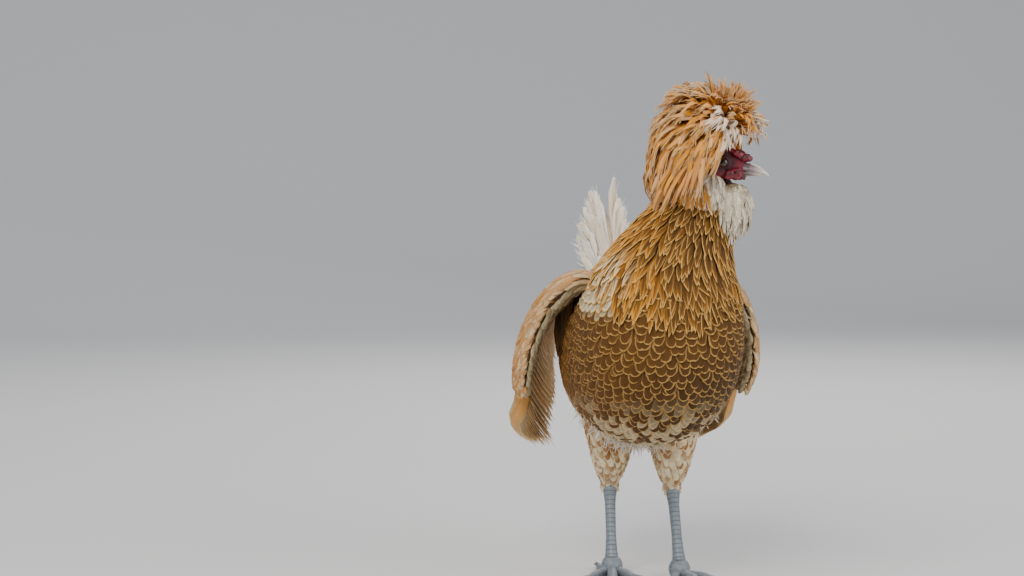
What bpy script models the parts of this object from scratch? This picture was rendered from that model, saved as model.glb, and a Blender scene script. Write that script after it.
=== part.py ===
"""A life-size still model of a buff laced, bearded Polish hen, standing with her head turned to her left
and both wings drooped away from the body. Metres, +Z up. The bird faces -Y and her left is +X."""
import math
import random

import bmesh
import bpy
import numpy as np
from mathutils import Vector

# The gap that neighbouring pieces keep
GAP = 0.0003
SEED = 11

# Body stations from the rump to the top of the neck, each in the plane through its back line and belly line.
# back y, back z, belly y, belly z, half width
BODY = [
    (0.142, 0.272, 0.150, 0.250, 0.012),
    (0.114, 0.268, 0.134, 0.212, 0.031),
    (0.086, 0.262, 0.110, 0.172, 0.048),
    (0.050, 0.262, 0.072, 0.138, 0.061),
    (0.010, 0.266, 0.022, 0.122, 0.069),
    (-0.022, 0.274, -0.030, 0.120, 0.0715),
    (-0.040, 0.284, -0.082, 0.134, 0.070),
    (-0.050, 0.294, -0.120, 0.165, 0.066),
    (-0.056, 0.304, -0.139, 0.206, 0.059),
    (-0.060, 0.315, -0.141, 0.246, 0.050),
    (-0.064, 0.327, -0.134, 0.280, 0.040),
    (-0.069, 0.340, -0.125, 0.307, 0.031),
    (-0.074, 0.352, -0.118, 0.330, 0.024),
]
RUMP_END = 1.7
NECK_BASE = 8.5
NECK_TOP = 12.0
AROUND = 22
SECTION_POWER = 2.15
LEAN_START_Z = 0.262
LEAN_END_Z = 0.362
NECK_LEAN = 0.030

# The head has its own frame: forward, to the left and up from the middle of the skull.
HEAD_AT = Vector((0.031, -0.097, 0.363))
HEAD_TURN = math.radians(61)
HEAD_PITCH = math.radians(-4)

# Skull sections: distance forward, height of the middle, half width, half height
SKULL = [
    (-0.0200, 0.0030, 0.0050, 0.0055),
    (-0.0165, 0.0025, 0.0105, 0.0120),
    (-0.0090, 0.0020, 0.0148, 0.0172),
    (0.0000, 0.0020, 0.0160, 0.0185),
    (0.0090, 0.0012, 0.0156, 0.0175),
    (0.0170, 0.0000, 0.0136, 0.0148),
    (0.0240, -0.0018, 0.0106, 0.0116),
    (0.0290, -0.0034, 0.0088, 0.0096),
    (0.0345, -0.0052, 0.0070, 0.0074),
]
BILL_BASE = 0.0345
EYE_FORWARD = 0.0185
EYE_UP = -0.0002
EYE_SIDE = 0.0094
EYE_RADIUS = 0.0050

HIP_HEIGHT = 0.165
HOCK_HEIGHT = 0.080
LEGS = {
    "left": {"side": 1, "x": 0.0280, "knee_x": 0.0200, "foot_y": -0.0140},
    "right": {"side": -1, "x": -0.0230, "knee_x": -0.0285, "foot_y": 0.0100},
}
THIGH_RADII = (0.0265, 0.0240, 0.0195, 0.0145, 0.0098, 0.0068)
HOCK_BACK = 0.020
SHANK_RADIUS = 0.0048

COLOURS = {
    "buff_plumage": ((0.62, 0.33, 0.10), 0.75, 0.0),
    "cream_plumage": ((0.86, 0.78, 0.62), 0.8, 0.0),
    "red_skin": ((0.45, 0.03, 0.04), 0.5, 0.0),
    "bill_horn": ((0.55, 0.45, 0.38), 0.35, 0.0),
    "slate_scales": ((0.25, 0.29, 0.33), 0.5, 0.0),
    "claw_horn": ((0.45, 0.38, 0.32), 0.4, 0.0),
    "eye_glossy": ((0.30, 0.09, 0.02), 0.08, 0.0),
}


def clear_scene():
    for old in list(bpy.data.objects):
        bpy.data.objects.remove(old)


def material(slot):
    found = bpy.data.materials.get(slot)
    if found:
        return found
    colour, roughness, metallic = COLOURS[slot]
    made = bpy.data.materials.new(slot)
    made.use_nodes = True
    shader = made.node_tree.nodes["Principled BSDF"]
    shader.inputs["Base Color"].default_value = (*colour, 1)
    shader.inputs["Roughness"].default_value = roughness
    shader.inputs["Metallic"].default_value = metallic
    made.diffuse_color = (*colour, 1)
    return made


def smooth_step(low, high, value):
    share = min(1.0, max(0.0, (value - low) / (high - low)))
    return share * share * (3 - 2 * share)


def spline_row(rows, place):
    """The row at a place between whole numbers, on a smooth curve through all rows."""
    last = len(rows) - 1
    place = min(float(last), max(0.0, place))
    i = min(int(place), last - 1)
    t = place - i
    near = (i - 1, i, i + 1, i + 2)
    before, start, end, after = (np.array(rows[min(last, max(0, k))]) for k in near)
    return 0.5 * (
        2 * start
        + (end - before) * t
        + (2 * before - 5 * start + 4 * end - after) * t * t
        + (3 * start - before - 3 * end + after) * t**3
    )


def body_point(place, angle):
    """A point of the plumage. The angle is 0 on the back and a quarter turn on the bird's left."""
    back_y, back_z, belly_y, belly_z, half_width = spline_row(BODY, place)
    c, s = math.cos(angle), math.sin(angle)
    power = 2 / SECTION_POWER
    c = math.copysign(abs(c) ** power, c)
    s = math.copysign(abs(s) ** power, s)
    z = (back_z + belly_z) / 2 + c * (back_z - belly_z) / 2
    y = (back_y + belly_y) / 2 + c * (back_y - belly_y) / 2
    return Vector((s * half_width + NECK_LEAN * smooth_step(LEAN_START_Z, LEAN_END_Z, z), y, z))


def body_normal(place, angle):
    along = body_point(place + 0.05, angle) - body_point(place - 0.05, angle)
    around = body_point(place, angle + 0.03) - body_point(place, angle - 0.03)
    return along.cross(around).normalized()


def section_normal(place):
    """The direction along the body, towards the head, square to the section."""
    back = body_point(place, 0.0)
    belly = body_point(place, math.pi)
    side = body_point(place, math.pi / 2) - body_point(place, -math.pi / 2)
    return side.cross(back - belly).normalized()


def body_ring(place, shift=0.0, grow=0.0):
    move = section_normal(place) * shift
    ring = []
    for k in range(AROUND):
        angle = 2 * math.pi * k / AROUND
        ring.append(body_point(place, angle) + move + body_normal(place, angle) * grow)
    return ring


def loft_mesh(rings, first_tip=None, last_tip=None, thin=False):
    """A closed bmesh through rings of equally many points. An end is a fan to its tip or to its middle.

    A thin loft is split into triangles alike on its upper and lower half, so that the two never cross.
    """
    mesh = bmesh.new()
    made = [[mesh.verts.new(p) for p in ring] for ring in rings]
    count = len(rings[0])
    for low, high in zip(made, made[1:]):
        for k in range(count):
            n = (k + 1) % count
            if not thin:
                mesh.faces.new((low[k], low[n], high[n], high[k]))
            elif k < count // 2:
                mesh.faces.new((low[k], low[n], high[n]))
                mesh.faces.new((low[k], high[n], high[k]))
            else:
                mesh.faces.new((low[k], low[n], high[k]))
                mesh.faces.new((low[n], high[n], high[k]))
    for ring, tip in ((made[0], first_tip), (made[-1], last_tip)):
        middle = tip if tip is not None else sum((v.co for v in ring), Vector()) / count
        centre = mesh.verts.new(middle)
        for k in range(count):
            mesh.faces.new((ring[k], ring[(k + 1) % count], centre))
    bmesh.ops.recalc_face_normals(mesh, faces=mesh.faces)
    if mesh.calc_volume(signed=True) < 0:
        bmesh.ops.reverse_faces(mesh, faces=mesh.faces)
    return mesh


def object_from(mesh, name):
    data = bpy.data.meshes.new(name)
    mesh.to_mesh(data)
    mesh.free()
    made = bpy.data.objects.new(name, data)
    bpy.context.scene.collection.objects.link(made)
    return made


def ellipsoid(name, centre, radii, axes=None, rings=10, around=16):
    """A closed ellipsoid whose poles lie on its third axis."""
    axes = axes or (Vector((1, 0, 0)), Vector((0, 1, 0)), Vector((0, 0, 1)))
    a, b, c = (axis * r for axis, r in zip(axes, radii))
    loops = []
    for i in range(1, rings):
        polar = math.pi * i / rings
        turns = [2 * math.pi * k / around for k in range(around)]
        middle = centre - c * math.cos(polar)
        loops.append([middle + (a * math.cos(w) + b * math.sin(w)) * math.sin(polar) for w in turns])
    return object_from(loft_mesh(loops, centre - c, centre + c), name)


def tube(name, path, radii, around=10, flat=1.0, up=Vector((0, 0, 1))):
    """A closed tapering tube through the points of a path. flat is its depth over its width."""
    loops = []
    turns = [2 * math.pi * k / around for k in range(around)]
    for i, point in enumerate(path):
        ahead = path[min(i + 1, len(path) - 1)] - path[max(i - 1, 0)]
        ahead.normalize()
        side = ahead.cross(up)
        side.normalize()
        over = side.cross(ahead).normalized()
        over *= flat
        loops.append([point + (side * math.cos(w) + over * math.sin(w)) * radii[i] for w in turns])
    return object_from(loft_mesh(loops), name)


# Feather outlines: shares of the length, and of the full width there. The last point is the tip.
VANE = ((0.0, 0.42, 0.84, 1.0), (0.35, 1.0, 0.84, 0.0))
LOCK = ((0.0, 0.35, 0.66, 0.89, 1.0), (0.40, 0.95, 1.0, 0.66, 0.0))


def vane(path, face, width, thickness, camber, shape=VANE):
    """A closed flat feather with a low diamond section. Its upper face looks along face(t)."""
    loops = []
    for t, share in zip(shape[0][:-1], shape[1][:-1]):
        point = path(t)
        ahead = (path(min(1.0, t + 0.04)) - path(max(0.0, t - 0.04))).normalized()
        side = ahead.cross(face(t)).normalized()
        over = side.cross(ahead).normalized()
        reach = side * width * share / 2
        droop = over * camber * share
        half = over * thickness / 2
        loops.append([point + reach - droop, point + half, point - reach - droop, point - half])
    return object_from(loft_mesh(loops, None, path(1.0), thin=True), "vane")


def apply_boolean(target, operation, other=None, group=None, solver="EXACT"):
    modifier = target.modifiers.new("join", "BOOLEAN")
    modifier.operation = operation
    modifier.solver = solver
    if group:
        modifier.operand_type = "COLLECTION"
        modifier.collection = group
    else:
        modifier.object = other
    graph = bpy.context.evaluated_depsgraph_get()
    result = bpy.data.meshes.new_from_object(target.evaluated_get(graph))
    target.modifiers.clear()
    target.data = result


def keep_largest(target):
    """Leaves only the closed surface that holds the most. Shells that share just an edge count as two."""
    mesh = bmesh.new()
    mesh.from_mesh(target.data)
    bmesh.ops.triangulate(mesh, faces=mesh.faces)
    left = set(mesh.faces)
    shells = []
    while left:
        shell, front = set(), [left.pop()]
        while front:
            face = front.pop()
            shell.add(face)
            for edge in face.edges:
                sides = edge.link_faces
                for other in sides if len(sides) == 2 else ():
                    if other in left:
                        left.remove(other)
                        front.append(other)
        volume = sum(f.verts[0].co.dot(f.verts[1].co.cross(f.verts[2].co)) for f in shell)
        shells.append((abs(volume), shell))
    shells.sort(key=lambda s: -s[0])
    for _, shell in shells[1:]:
        bmesh.ops.delete(mesh, geom=list(shell), context="FACES")
    loose = [v for v in mesh.verts if not v.link_faces]
    bmesh.ops.delete(mesh, geom=loose, context="VERTS")
    mesh.to_mesh(target.data)
    mesh.free()
    return len(shells) - 1


def fuse(core, pieces):
    """Joins closed pieces to their core as one closed surface."""
    if not pieces:
        return core
    group = bpy.data.collections.new(core.name + "_pieces")
    for piece in pieces:
        bpy.context.scene.collection.objects.unlink(piece)
        group.objects.link(piece)
    bpy.context.scene.collection.children.link(group)
    apply_boolean(core, "UNION", group=group, solver="MANIFOLD")
    for piece in pieces:
        bpy.data.objects.remove(piece)
    bpy.data.collections.remove(group)
    dropped = keep_largest(core)
    count = len(core.data.polygons)
    print(core.name, "joined", len(pieces), "pieces,", count, "triangles,", dropped, "dropped")
    return core


def cut_clear(target, other):
    """Cuts target back from a grown copy of its neighbour, and removes that copy."""
    apply_boolean(target, "DIFFERENCE", other=other, solver="MANIFOLD")
    bpy.data.objects.remove(other)
    keep_largest(target)


def grown(source, distance):
    """A copy of a closed object, moved out along its normals."""
    mesh = bmesh.new()
    mesh.from_mesh(source.data)
    mesh.normal_update()
    for vert in mesh.verts:
        vert.co += vert.normal * distance * max(1.0, vert.calc_shell_factor())
    return object_from(mesh, "grown")


def finish_node(target, name, slot):
    target.name = name
    target.data.name = name
    target.data.materials.clear()
    target.data.materials.append(material(slot))
    for polygon in target.data.polygons:
        polygon.use_smooth = False
    return target


def meridian_walk(place, angle, length, step=0.04):
    """Body places at even shares of a length walked from a place towards the rump, as a function of t."""
    places, run = [place], [0.0]
    here = body_point(place, angle)
    while run[-1] < length * 1.1 and places[-1] > 0.1:
        nxt = body_point(places[-1] - step, angle)
        run.append(run[-1] + (nxt - here).length)
        places.append(places[-1] - step)
        here = nxt
    return lambda t: float(np.interp(t * length, run, places))


def body_vane(place, angle, length, width, lifts):
    """A feather that lies from a place towards the rump. lifts are its heights over the plumage."""
    walk = meridian_walk(place, angle, length)

    def path(t):
        lift = float(np.interp(t, (0.0, 0.42, 0.84, 1.0), lifts))
        return body_point(walk(t), angle) + body_normal(walk(t), angle) * lift

    return vane(path, lambda t: body_normal(walk(t), angle), width, 0.0009, 0.0008, VANE)


def make_torso():
    places = np.concatenate([[RUMP_END], np.linspace(2.1, NECK_BASE - 0.35, 10), [NECK_BASE]])
    rings = [body_ring(p) for p in places]
    rings[0] = body_ring(RUMP_END, shift=GAP / 2)
    rings[-1] = body_ring(NECK_BASE, shift=-GAP / 2)
    return finish_node(object_from(loft_mesh(rings), "torso"), "torso", "buff_plumage")


# Hackle tiers: place on the neck, number of feathers, length at the sides, width
HACKLE_TIERS = [
    (9.05, 12, 0.041, 0.0195),
    (9.80, 10, 0.039, 0.0185),
    (10.55, 9, 0.037, 0.0170),
    (11.25, 8, 0.035, 0.0150),
    (11.75, 6, 0.030, 0.0140),
]
HACKLE_LIFTS = (-0.0032, 0.0026, 0.0036, 0.0036)
HACKLE_TIER_RISE = 0.0004
HACKLE_BACK_RISE = 0.45
HACKLE_CLEARANCE = 0.00025
HACKLE_DEPTH = 0.0068


def make_neck(torso):
    places = np.linspace(NECK_BASE, NECK_TOP, 8)
    rings = [body_ring(p) for p in places]
    rings[0] = body_ring(NECK_BASE, shift=GAP / 2)
    core = object_from(loft_mesh(rings), "neck")
    rng = random.Random(SEED)
    pieces = []
    for tier, (place, count, length, width) in enumerate(HACKLE_TIERS):
        lifts = [HACKLE_LIFTS[0]] + [lift + HACKLE_TIER_RISE * tier for lift in HACKLE_LIFTS[1:]]
        for k in range(count):
            angle = 2 * math.pi * (k + 0.5 * (tier % 2)) / count
            longer = 1.0 + 0.30 * max(0.0, math.cos(angle)) + 0.10 * max(0.0, -math.cos(angle))
            size = longer * rng.uniform(0.92, 1.08)
            root = place + HACKLE_BACK_RISE * max(0.0, math.cos(angle)) * (tier == 0)
            pieces.append(body_vane(root, angle, length * size, width, lifts))
    fuse(core, pieces)
    cut_clear(core, grown(torso, HACKLE_CLEARANCE))
    return finish_node(core, "neck", "buff_plumage")


# Tail feathers fan on each side from the top pair, which stand highest, to the lowest.
TAIL_ROOT = Vector((0.0, 0.136, 0.264))
TAIL_PAIRS = 6
TAIL_LENGTH = 0.101
TAIL_TOP_RISE = math.radians(49)
TAIL_LOW_RISE = math.radians(24)
TAIL_TOP_LEAN = math.radians(3)
TAIL_LOW_LEAN = math.radians(8)
TAIL_WIDTH = 0.024
TAIL_SHINGLE = 0.0019
# Where the top and the lowest feathers root, from the tail's root
TAIL_TOP_SPLAY = (0.0020, -0.006, 0.004)
TAIL_LOW_SPLAY = (0.0070, 0.0, -0.014)
TAIL_FACE_UP = 0.10
TAIL_CURL = 0.008
# Covert tiers: length, feathers a side, width, how far they stand off the tail feathers
TAIL_COVERTS = [(0.062, 3, 0.021, 0.0032), (0.042, 2, 0.022, 0.0062)]


def tail_feather(side, share, length, width, outward):
    """A feather of one side of the tail. share runs from the top feather to the lowest."""
    rise = TAIL_TOP_RISE + (TAIL_LOW_RISE - TAIL_TOP_RISE) * share
    lean = side * (TAIL_TOP_LEAN + (TAIL_LOW_LEAN - TAIL_TOP_LEAN) * share)
    away = Vector((math.sin(lean), math.cos(lean) * math.cos(rise), math.cos(lean) * math.sin(rise)))
    top = Vector((side * TAIL_TOP_SPLAY[0], *TAIL_TOP_SPLAY[1:]))
    low = Vector((side * TAIL_LOW_SPLAY[0], *TAIL_LOW_SPLAY[1:]))
    root = TAIL_ROOT + top.lerp(low, share)
    over = Vector((side, 0.0, TAIL_FACE_UP))
    over = (over - away * over.dot(away)).normalized()

    def path(t):
        return root + away * length * t + over * (outward * min(1.0, 4 * t) + TAIL_CURL * t * t)

    return vane(path, lambda t: over, width, 0.0010, 0.0010)


def make_tail():
    places = np.linspace(0.0, RUMP_END, 5)
    rings = [body_ring(p) for p in places]
    rings[-1] = body_ring(RUMP_END, shift=-GAP / 2)
    core = object_from(loft_mesh(rings), "tail")
    rng = random.Random(SEED + 1)
    pieces = []
    for side in (-1, 1):
        for k in range(TAIL_PAIRS):
            share = k / (TAIL_PAIRS - 1)
            length = TAIL_LENGTH * (1.0 - 0.14 * share) * rng.uniform(0.96, 1.04)
            outward = TAIL_SHINGLE * (TAIL_PAIRS - 1 - k) / 2
            pieces.append(tail_feather(side, share, length, TAIL_WIDTH, outward))
        for length, count, width, stand in TAIL_COVERTS:
            for k in range(count):
                share = 0.08 + 0.84 * k / (count - 1)
                outward = TAIL_SHINGLE * (TAIL_PAIRS - 1) * (1 - share) / 2 + stand
                pieces.append(tail_feather(side, share, length * rng.uniform(0.93, 1.07), width, outward))
    return finish_node(fuse(core, pieces), "tail", "cream_plumage")


def head_axes():
    level = Vector((math.sin(HEAD_TURN), -math.cos(HEAD_TURN), 0.0))
    up = Vector((0, 0, 1))
    forward = (level * math.cos(HEAD_PITCH) + up * math.sin(HEAD_PITCH)).normalized()
    left = up.cross(forward).normalized()
    return forward, left, forward.cross(left).normalized()


FORWARD, LEFT, UP = HEAD_AXES = head_axes()


def at_head(forward, left, up):
    return HEAD_AT + FORWARD * forward + LEFT * left + UP * up


def head_ellipsoid(name, place, radii, rings, around):
    """An ellipsoid in the head's frame."""
    return ellipsoid(name, at_head(*place), radii, HEAD_AXES, rings, around)


def skull_rings(around=16, grow=0.0):
    rings = []
    for forward, middle, half_width, half_height in SKULL:
        rings.append([
            at_head(
                forward,
                (half_width + grow) * math.cos(2 * math.pi * k / around),
                middle + (half_height + grow) * math.sin(2 * math.pi * k / around),
            )
            for k in range(around)
        ])
    return rings


def neck_blocker():
    """The neck and its hackles as one plain tube, closest at the top, for cutting what hangs over them."""
    rings = []
    for place in np.linspace(NECK_BASE, NECK_TOP, 8):
        share = min(1.0, (NECK_TOP - place) / 1.2)
        rings.append(body_ring(place, grow=2 * GAP + HACKLE_DEPTH * share))
    return object_from(loft_mesh(rings), "blocker")


def neck_cap_blocker():
    """A block that fills the neck's top and all below it, for cutting what sits on the neck."""
    ring = body_ring(NECK_TOP, shift=GAP)
    middle = sum(ring, Vector()) / AROUND
    wide = [middle + (p - middle) * 4 for p in ring]
    low = [p - section_normal(NECK_TOP) * 0.05 for p in wide]
    return object_from(loft_mesh([low, wide]), "blocker")


# Angles of the lids' edges from the middle of the eye's opening, and of their outer rims
UPPER_LID, LOWER_LID, LID_RIM = math.radians(46), math.radians(52), math.radians(82)
LID_THICKNESS = 0.0011
LID_SWEEP = math.radians(81)
LID_STEPS = 4
ORBIT = EYE_RADIUS + LID_THICKNESS + 0.0016


def eyeball(side, name, radius):
    return head_ellipsoid(name, (EYE_FORWARD, side * EYE_SIDE, EYE_UP), [radius] * 3, 7, 12)


def lid(side, upper):
    """One eyelid: a thin crescent that covers the top or the bottom of the eyeball."""
    centre = at_head(EYE_FORWARD, side * EYE_SIDE, EYE_UP)
    axis = (LEFT * side + FORWARD * 0.25).normalized()
    high = UP * (1 if upper else -1)
    level = axis.cross(high).normalized()
    inner = UPPER_LID if upper else LOWER_LID
    thin = EYE_RADIUS + GAP + 0.0001
    loops = []
    for k in range(LID_STEPS + 1):
        swing = LID_SWEEP * (2 * k / LID_STEPS - 1)
        out = level * math.sin(swing) + high * math.cos(swing)
        near = axis * math.cos(inner) + out * math.sin(inner)
        far = axis * math.cos(LID_RIM) + out * math.sin(LID_RIM)
        thick = thin + LID_THICKNESS * (1 - 0.35 * abs(math.sin(swing)))
        loops.append([
            centre + near * thin,
            centre + near * thick,
            centre + far * (thick + 0.0006),
            centre + far * (thin - 0.0006),
        ])
    return object_from(loft_mesh(loops), "lid")


def plain_head(grow=0.0):
    """The skull with its bare cheeks, before lids and sockets."""
    skull = object_from(loft_mesh(skull_rings(grow=grow)), "head")
    radii = (0.0080 + grow, 0.0042 + grow, 0.0052 + grow)
    cheeks = [head_ellipsoid("cheek", (0.0135, side * 0.0110, -0.0080), radii, 6, 10) for side in (-1, 1)]
    return fuse(skull, cheeks)


def make_head():
    """The head with its eye sockets and lids, cut off level with the top of the neck."""
    head = plain_head()
    fuse(head, [lid(side, upper) for side in (-1, 1) for upper in (True, False)])
    for side in (-1, 1):
        cut_clear(head, eyeball(side, "socket", EYE_RADIUS + GAP))
    cut_clear(head, neck_cap_blocker())
    return finish_node(head, "head", "red_skin")


def make_eye(side, name):
    return finish_node(eyeball(side, name, EYE_RADIUS), name, "eye_glossy")


# Bill sections: distance forward from the bill's base, drop, half width, height over or under the mouth line
UPPER_BILL = [
    (0.0000, 0.0000, 0.0062, 0.0068),
    (0.0050, -0.0001, 0.0055, 0.0063),
    (0.0100, -0.0004, 0.0045, 0.0052),
    (0.0145, -0.0009, 0.0032, 0.0038),
    (0.0182, -0.0018, 0.0018, 0.0022),
]
UPPER_BILL_TIP = (0.0208, -0.0032)
LOWER_BILL = [
    (0.0000, 0.0000, 0.0055, 0.0037),
    (0.0055, -0.0003, 0.0047, 0.0032),
    (0.0100, -0.0006, 0.0036, 0.0025),
    (0.0138, -0.0012, 0.0023, 0.0016),
]
LOWER_BILL_TIP = (0.0165, -0.0020)
MOUTH_UP = -0.0062
MOUTH_GAP = 0.0004
BILL_SIDES = 8
NOSTRIL = (0.0040, 0.0058, 0.0036)
NOSTRIL_RADII = (0.0020, 0.0014, 0.0009)


def half_section(forward, low, half_width, height, upwards):
    """A half-round section whose flat side is the mouth line."""
    points = []
    for k in range(BILL_SIDES + 1):
        swing = math.pi * k / BILL_SIDES
        up = low + upwards * height * math.sin(swing)
        points.append(at_head(forward, half_width * math.cos(swing), up))
    return points


def bill_half(name, rows, tip, upwards):
    base = BILL_BASE + GAP
    low = MOUTH_UP - (MOUTH_GAP if upwards < 0 else 0.0)
    rings = [
        half_section(base + forward, low + drop, half_width, height, upwards)
        for forward, drop, half_width, height in rows
    ]
    return object_from(loft_mesh(rings, None, at_head(base + tip[0], 0, low + tip[1])), name)


def make_bills():
    upper = bill_half("upper_bill", UPPER_BILL, UPPER_BILL_TIP, 1)
    forward, across, up = NOSTRIL
    for side in (-1, 1):
        place = (BILL_BASE + GAP + forward, side * across, MOUTH_UP + up)
        cut_clear(upper, head_ellipsoid("nostril", place, NOSTRIL_RADII, 6, 10))
    finish_node(upper, "upper_bill", "bill_horn")
    lower = bill_half("lower_bill", LOWER_BILL, LOWER_BILL_TIP, -1)
    return upper, finish_node(lower, "lower_bill", "bill_horn")


# The comb's lumps and the wattles: place in the head's frame and radii
COMB = ((0.0325, 0.0, 0.0044), (0.0062, 0.0068, 0.0042))
COMB_SIDES = 8
COMB_BUMP = ((0.0375, 0.0034, 0.0046), (0.0026, 0.0021, 0.0026))
COMB_HORN = (0.0335, 0.0030, 0.0062)
COMB_HORN_STEP = (-0.0036, 0.0024, 0.0026)
COMB_HORN_RADII = (0.0030, 0.0034, 0.0027, 0.0010)
WATTLE = ((0.0290, 0.0082, -0.0088), (0.0058, 0.0027, 0.0056))
WATTLE_FOLD = ((0.0235, 0.0102, -0.0098), (0.0050, 0.0026, 0.0046))


def on_side(place, side):
    return place[0], side * place[1], place[2]


def make_comb(upper_bill):
    """The V-shaped comb: two small horns that part over the nostrils, each with a bump at its foot."""
    core = head_ellipsoid("comb", *COMB, 5, COMB_SIDES)
    pieces = []
    for side in (-1, 1):
        steps = [[a + b * k for a, b in zip(COMB_HORN, COMB_HORN_STEP)] for k in range(4)]
        path = [at_head(*on_side(step, side)) for step in steps]
        pieces.append(tube("horn", path, COMB_HORN_RADII, 6))
        pieces.append(head_ellipsoid("bump", on_side(COMB_BUMP[0], side), COMB_BUMP[1], 4, 6))
    fuse(core, pieces)
    for other in (plain_head(GAP), grown(upper_bill, GAP)):
        cut_clear(core, other)
    return finish_node(core, "comb", "red_skin")


def make_wattle(side, name, bills):
    """A small round lobe under the corner of the mouth, with a fold behind it."""
    drop = head_ellipsoid(name, on_side(WATTLE[0], side), WATTLE[1], 5, 8)
    fold = head_ellipsoid("fold", on_side(WATTLE_FOLD[0], side), WATTLE_FOLD[1], 5, 8)
    fuse(drop, [fold])
    for other in (plain_head(GAP), *(grown(bill, GAP) for bill in bills)):
        cut_clear(drop, other)
    return finish_node(drop, name, "red_skin")


# Crest tiers from the crown down. A feather leaves the core at one angle from upright and ends at another,
# at a distance from the crest's middle. open is the half angle that the tier leaves clear over the face.
CREST_TIERS = [
    {"root": 6, "tip": 18, "reach": 0.048, "count": 5, "width": 0.0155, "open": 0},
    {"root": 20, "tip": 48, "reach": 0.050, "count": 6, "width": 0.0175, "open": 0},
    {"root": 34, "tip": 76, "reach": 0.050, "count": 7, "width": 0.0185, "open": 0},
    {"root": 48, "tip": 101, "reach": 0.051, "count": 8, "width": 0.0175, "open": 48},
    {"root": 63, "tip": 123, "reach": 0.056, "count": 8, "width": 0.0175, "open": 78},
    {"root": 80, "tip": 149, "reach": 0.077, "count": 8, "width": 0.0175, "open": 74},
]
CREST_CENTRE = (0.0015, 0.0, 0.0200)
CREST_CORE = (0.0230, 0.0210, 0.0190)
CREST_DOME = (1.0, 0.84, 1.0)
CREST_ARCH = 0.50


def crest_way(tilt, turn):
    out = FORWARD * math.cos(turn) + LEFT * math.sin(turn)
    return UP * math.cos(tilt) + out * math.sin(tilt)


def stretched(way, radii):
    """A direction scaled by radii along the head's own axes."""
    return sum((axis * way.dot(axis) * radius for axis, radius in zip(HEAD_AXES, radii)), Vector())


def crest_lock(tier, turn, rng):
    """A crest feather that rises off the crown, then arches over and falls with its neighbours."""
    centre = at_head(*CREST_CENTRE)
    root_tilt = math.radians(tier["root"])
    tip_tilt = math.radians(tier["tip"] + rng.uniform(-6, 6))
    bend_tilt = root_tilt * CREST_ARCH + tip_tilt * (1 - CREST_ARCH)
    reach = tier["reach"] * rng.uniform(0.93, 1.08)
    swing = rng.uniform(-0.10, 0.10)
    root = centre + stretched(crest_way(root_tilt, turn), CREST_CORE) * 0.75
    bend = centre + stretched(crest_way(bend_tilt, turn), CREST_DOME) * reach * 0.95
    end = centre + stretched(crest_way(tip_tilt, turn + swing), CREST_DOME) * reach

    def path(t):
        return root * (1 - t) ** 2 + bend * 2 * t * (1 - t) + end * t * t

    def face(t):
        ahead = (path(min(1.0, t + 0.05)) - path(max(0.0, t - 0.05))).normalized()
        over = (path(t) - centre).normalized() + UP * 0.6
        return (over - ahead * over.dot(ahead)).normalized()

    return vane(path, face, tier["width"], 0.0011, 0.0012, LOCK)


def make_crest(comb):
    core = head_ellipsoid("crest", CREST_CENTRE, CREST_CORE, 6, 10)
    rng = random.Random(SEED + 2)
    pieces = []
    for number, tier in enumerate(CREST_TIERS):
        face_open = math.radians(tier["open"])
        for k in range(tier["count"]):
            step = 0.5 if tier["open"] else 0.5 * (number % 2)
            share = (k + step) / tier["count"]
            turn = face_open + (2 * math.pi - 2 * face_open) * share + rng.uniform(-0.06, 0.06)
            pieces.append(crest_lock(tier, turn, rng))
    fuse(core, pieces)
    orbits = [eyeball(side, "orbit", ORBIT) for side in (-1, 1)]
    for other in (plain_head(GAP), grown(comb, GAP), neck_blocker(), *orbits):
        cut_clear(core, other)
    return finish_node(core, "crest", "buff_plumage")


BEARD_CENTRE = (0.0255, 0.0, -0.0262)
BEARD_CORE = (0.0138, 0.0125, 0.0128)
# Beard tiers from the lowest up: tilt of the root from straight down, feathers, length, width
BEARD_TIERS = [
    (math.radians(12), 4, 0.027, 0.0130),
    (math.radians(40), 7, 0.027, 0.0130),
    (math.radians(72), 7, 0.021, 0.0130),
]
BEARD_WRAP = math.radians(104)
BEARD_DROOP = 0.30
MUFF_CENTRE = (0.0085, 0.0125, -0.0150)
MUFF_CORE = (0.0095, 0.0046, 0.0062)
MUFF_WIDTH = 0.0135
# Muff feathers of one cheek: turn from straight ahead, tilt from straight down, length
MUFF_FEATHERS = [(50, 44, 0.024), (90, 50, 0.026), (130, 58, 0.025)]


def drooping_lock(root, tilt, turn, length, width):
    """A beard or muff feather that leaves its root outwards and then sinks."""
    out = FORWARD * math.cos(turn) + LEFT * math.sin(turn)
    first = (out * math.sin(tilt) - UP * math.cos(tilt)).normalized()
    start = root + first * 0.004

    def path(t):
        return start + (first * t - Vector((0, 0, BEARD_DROOP)) * t * t) * length

    return vane(path, lambda t: (out + UP * 0.4).normalized(), width, 0.0011, 0.0012)


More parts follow.
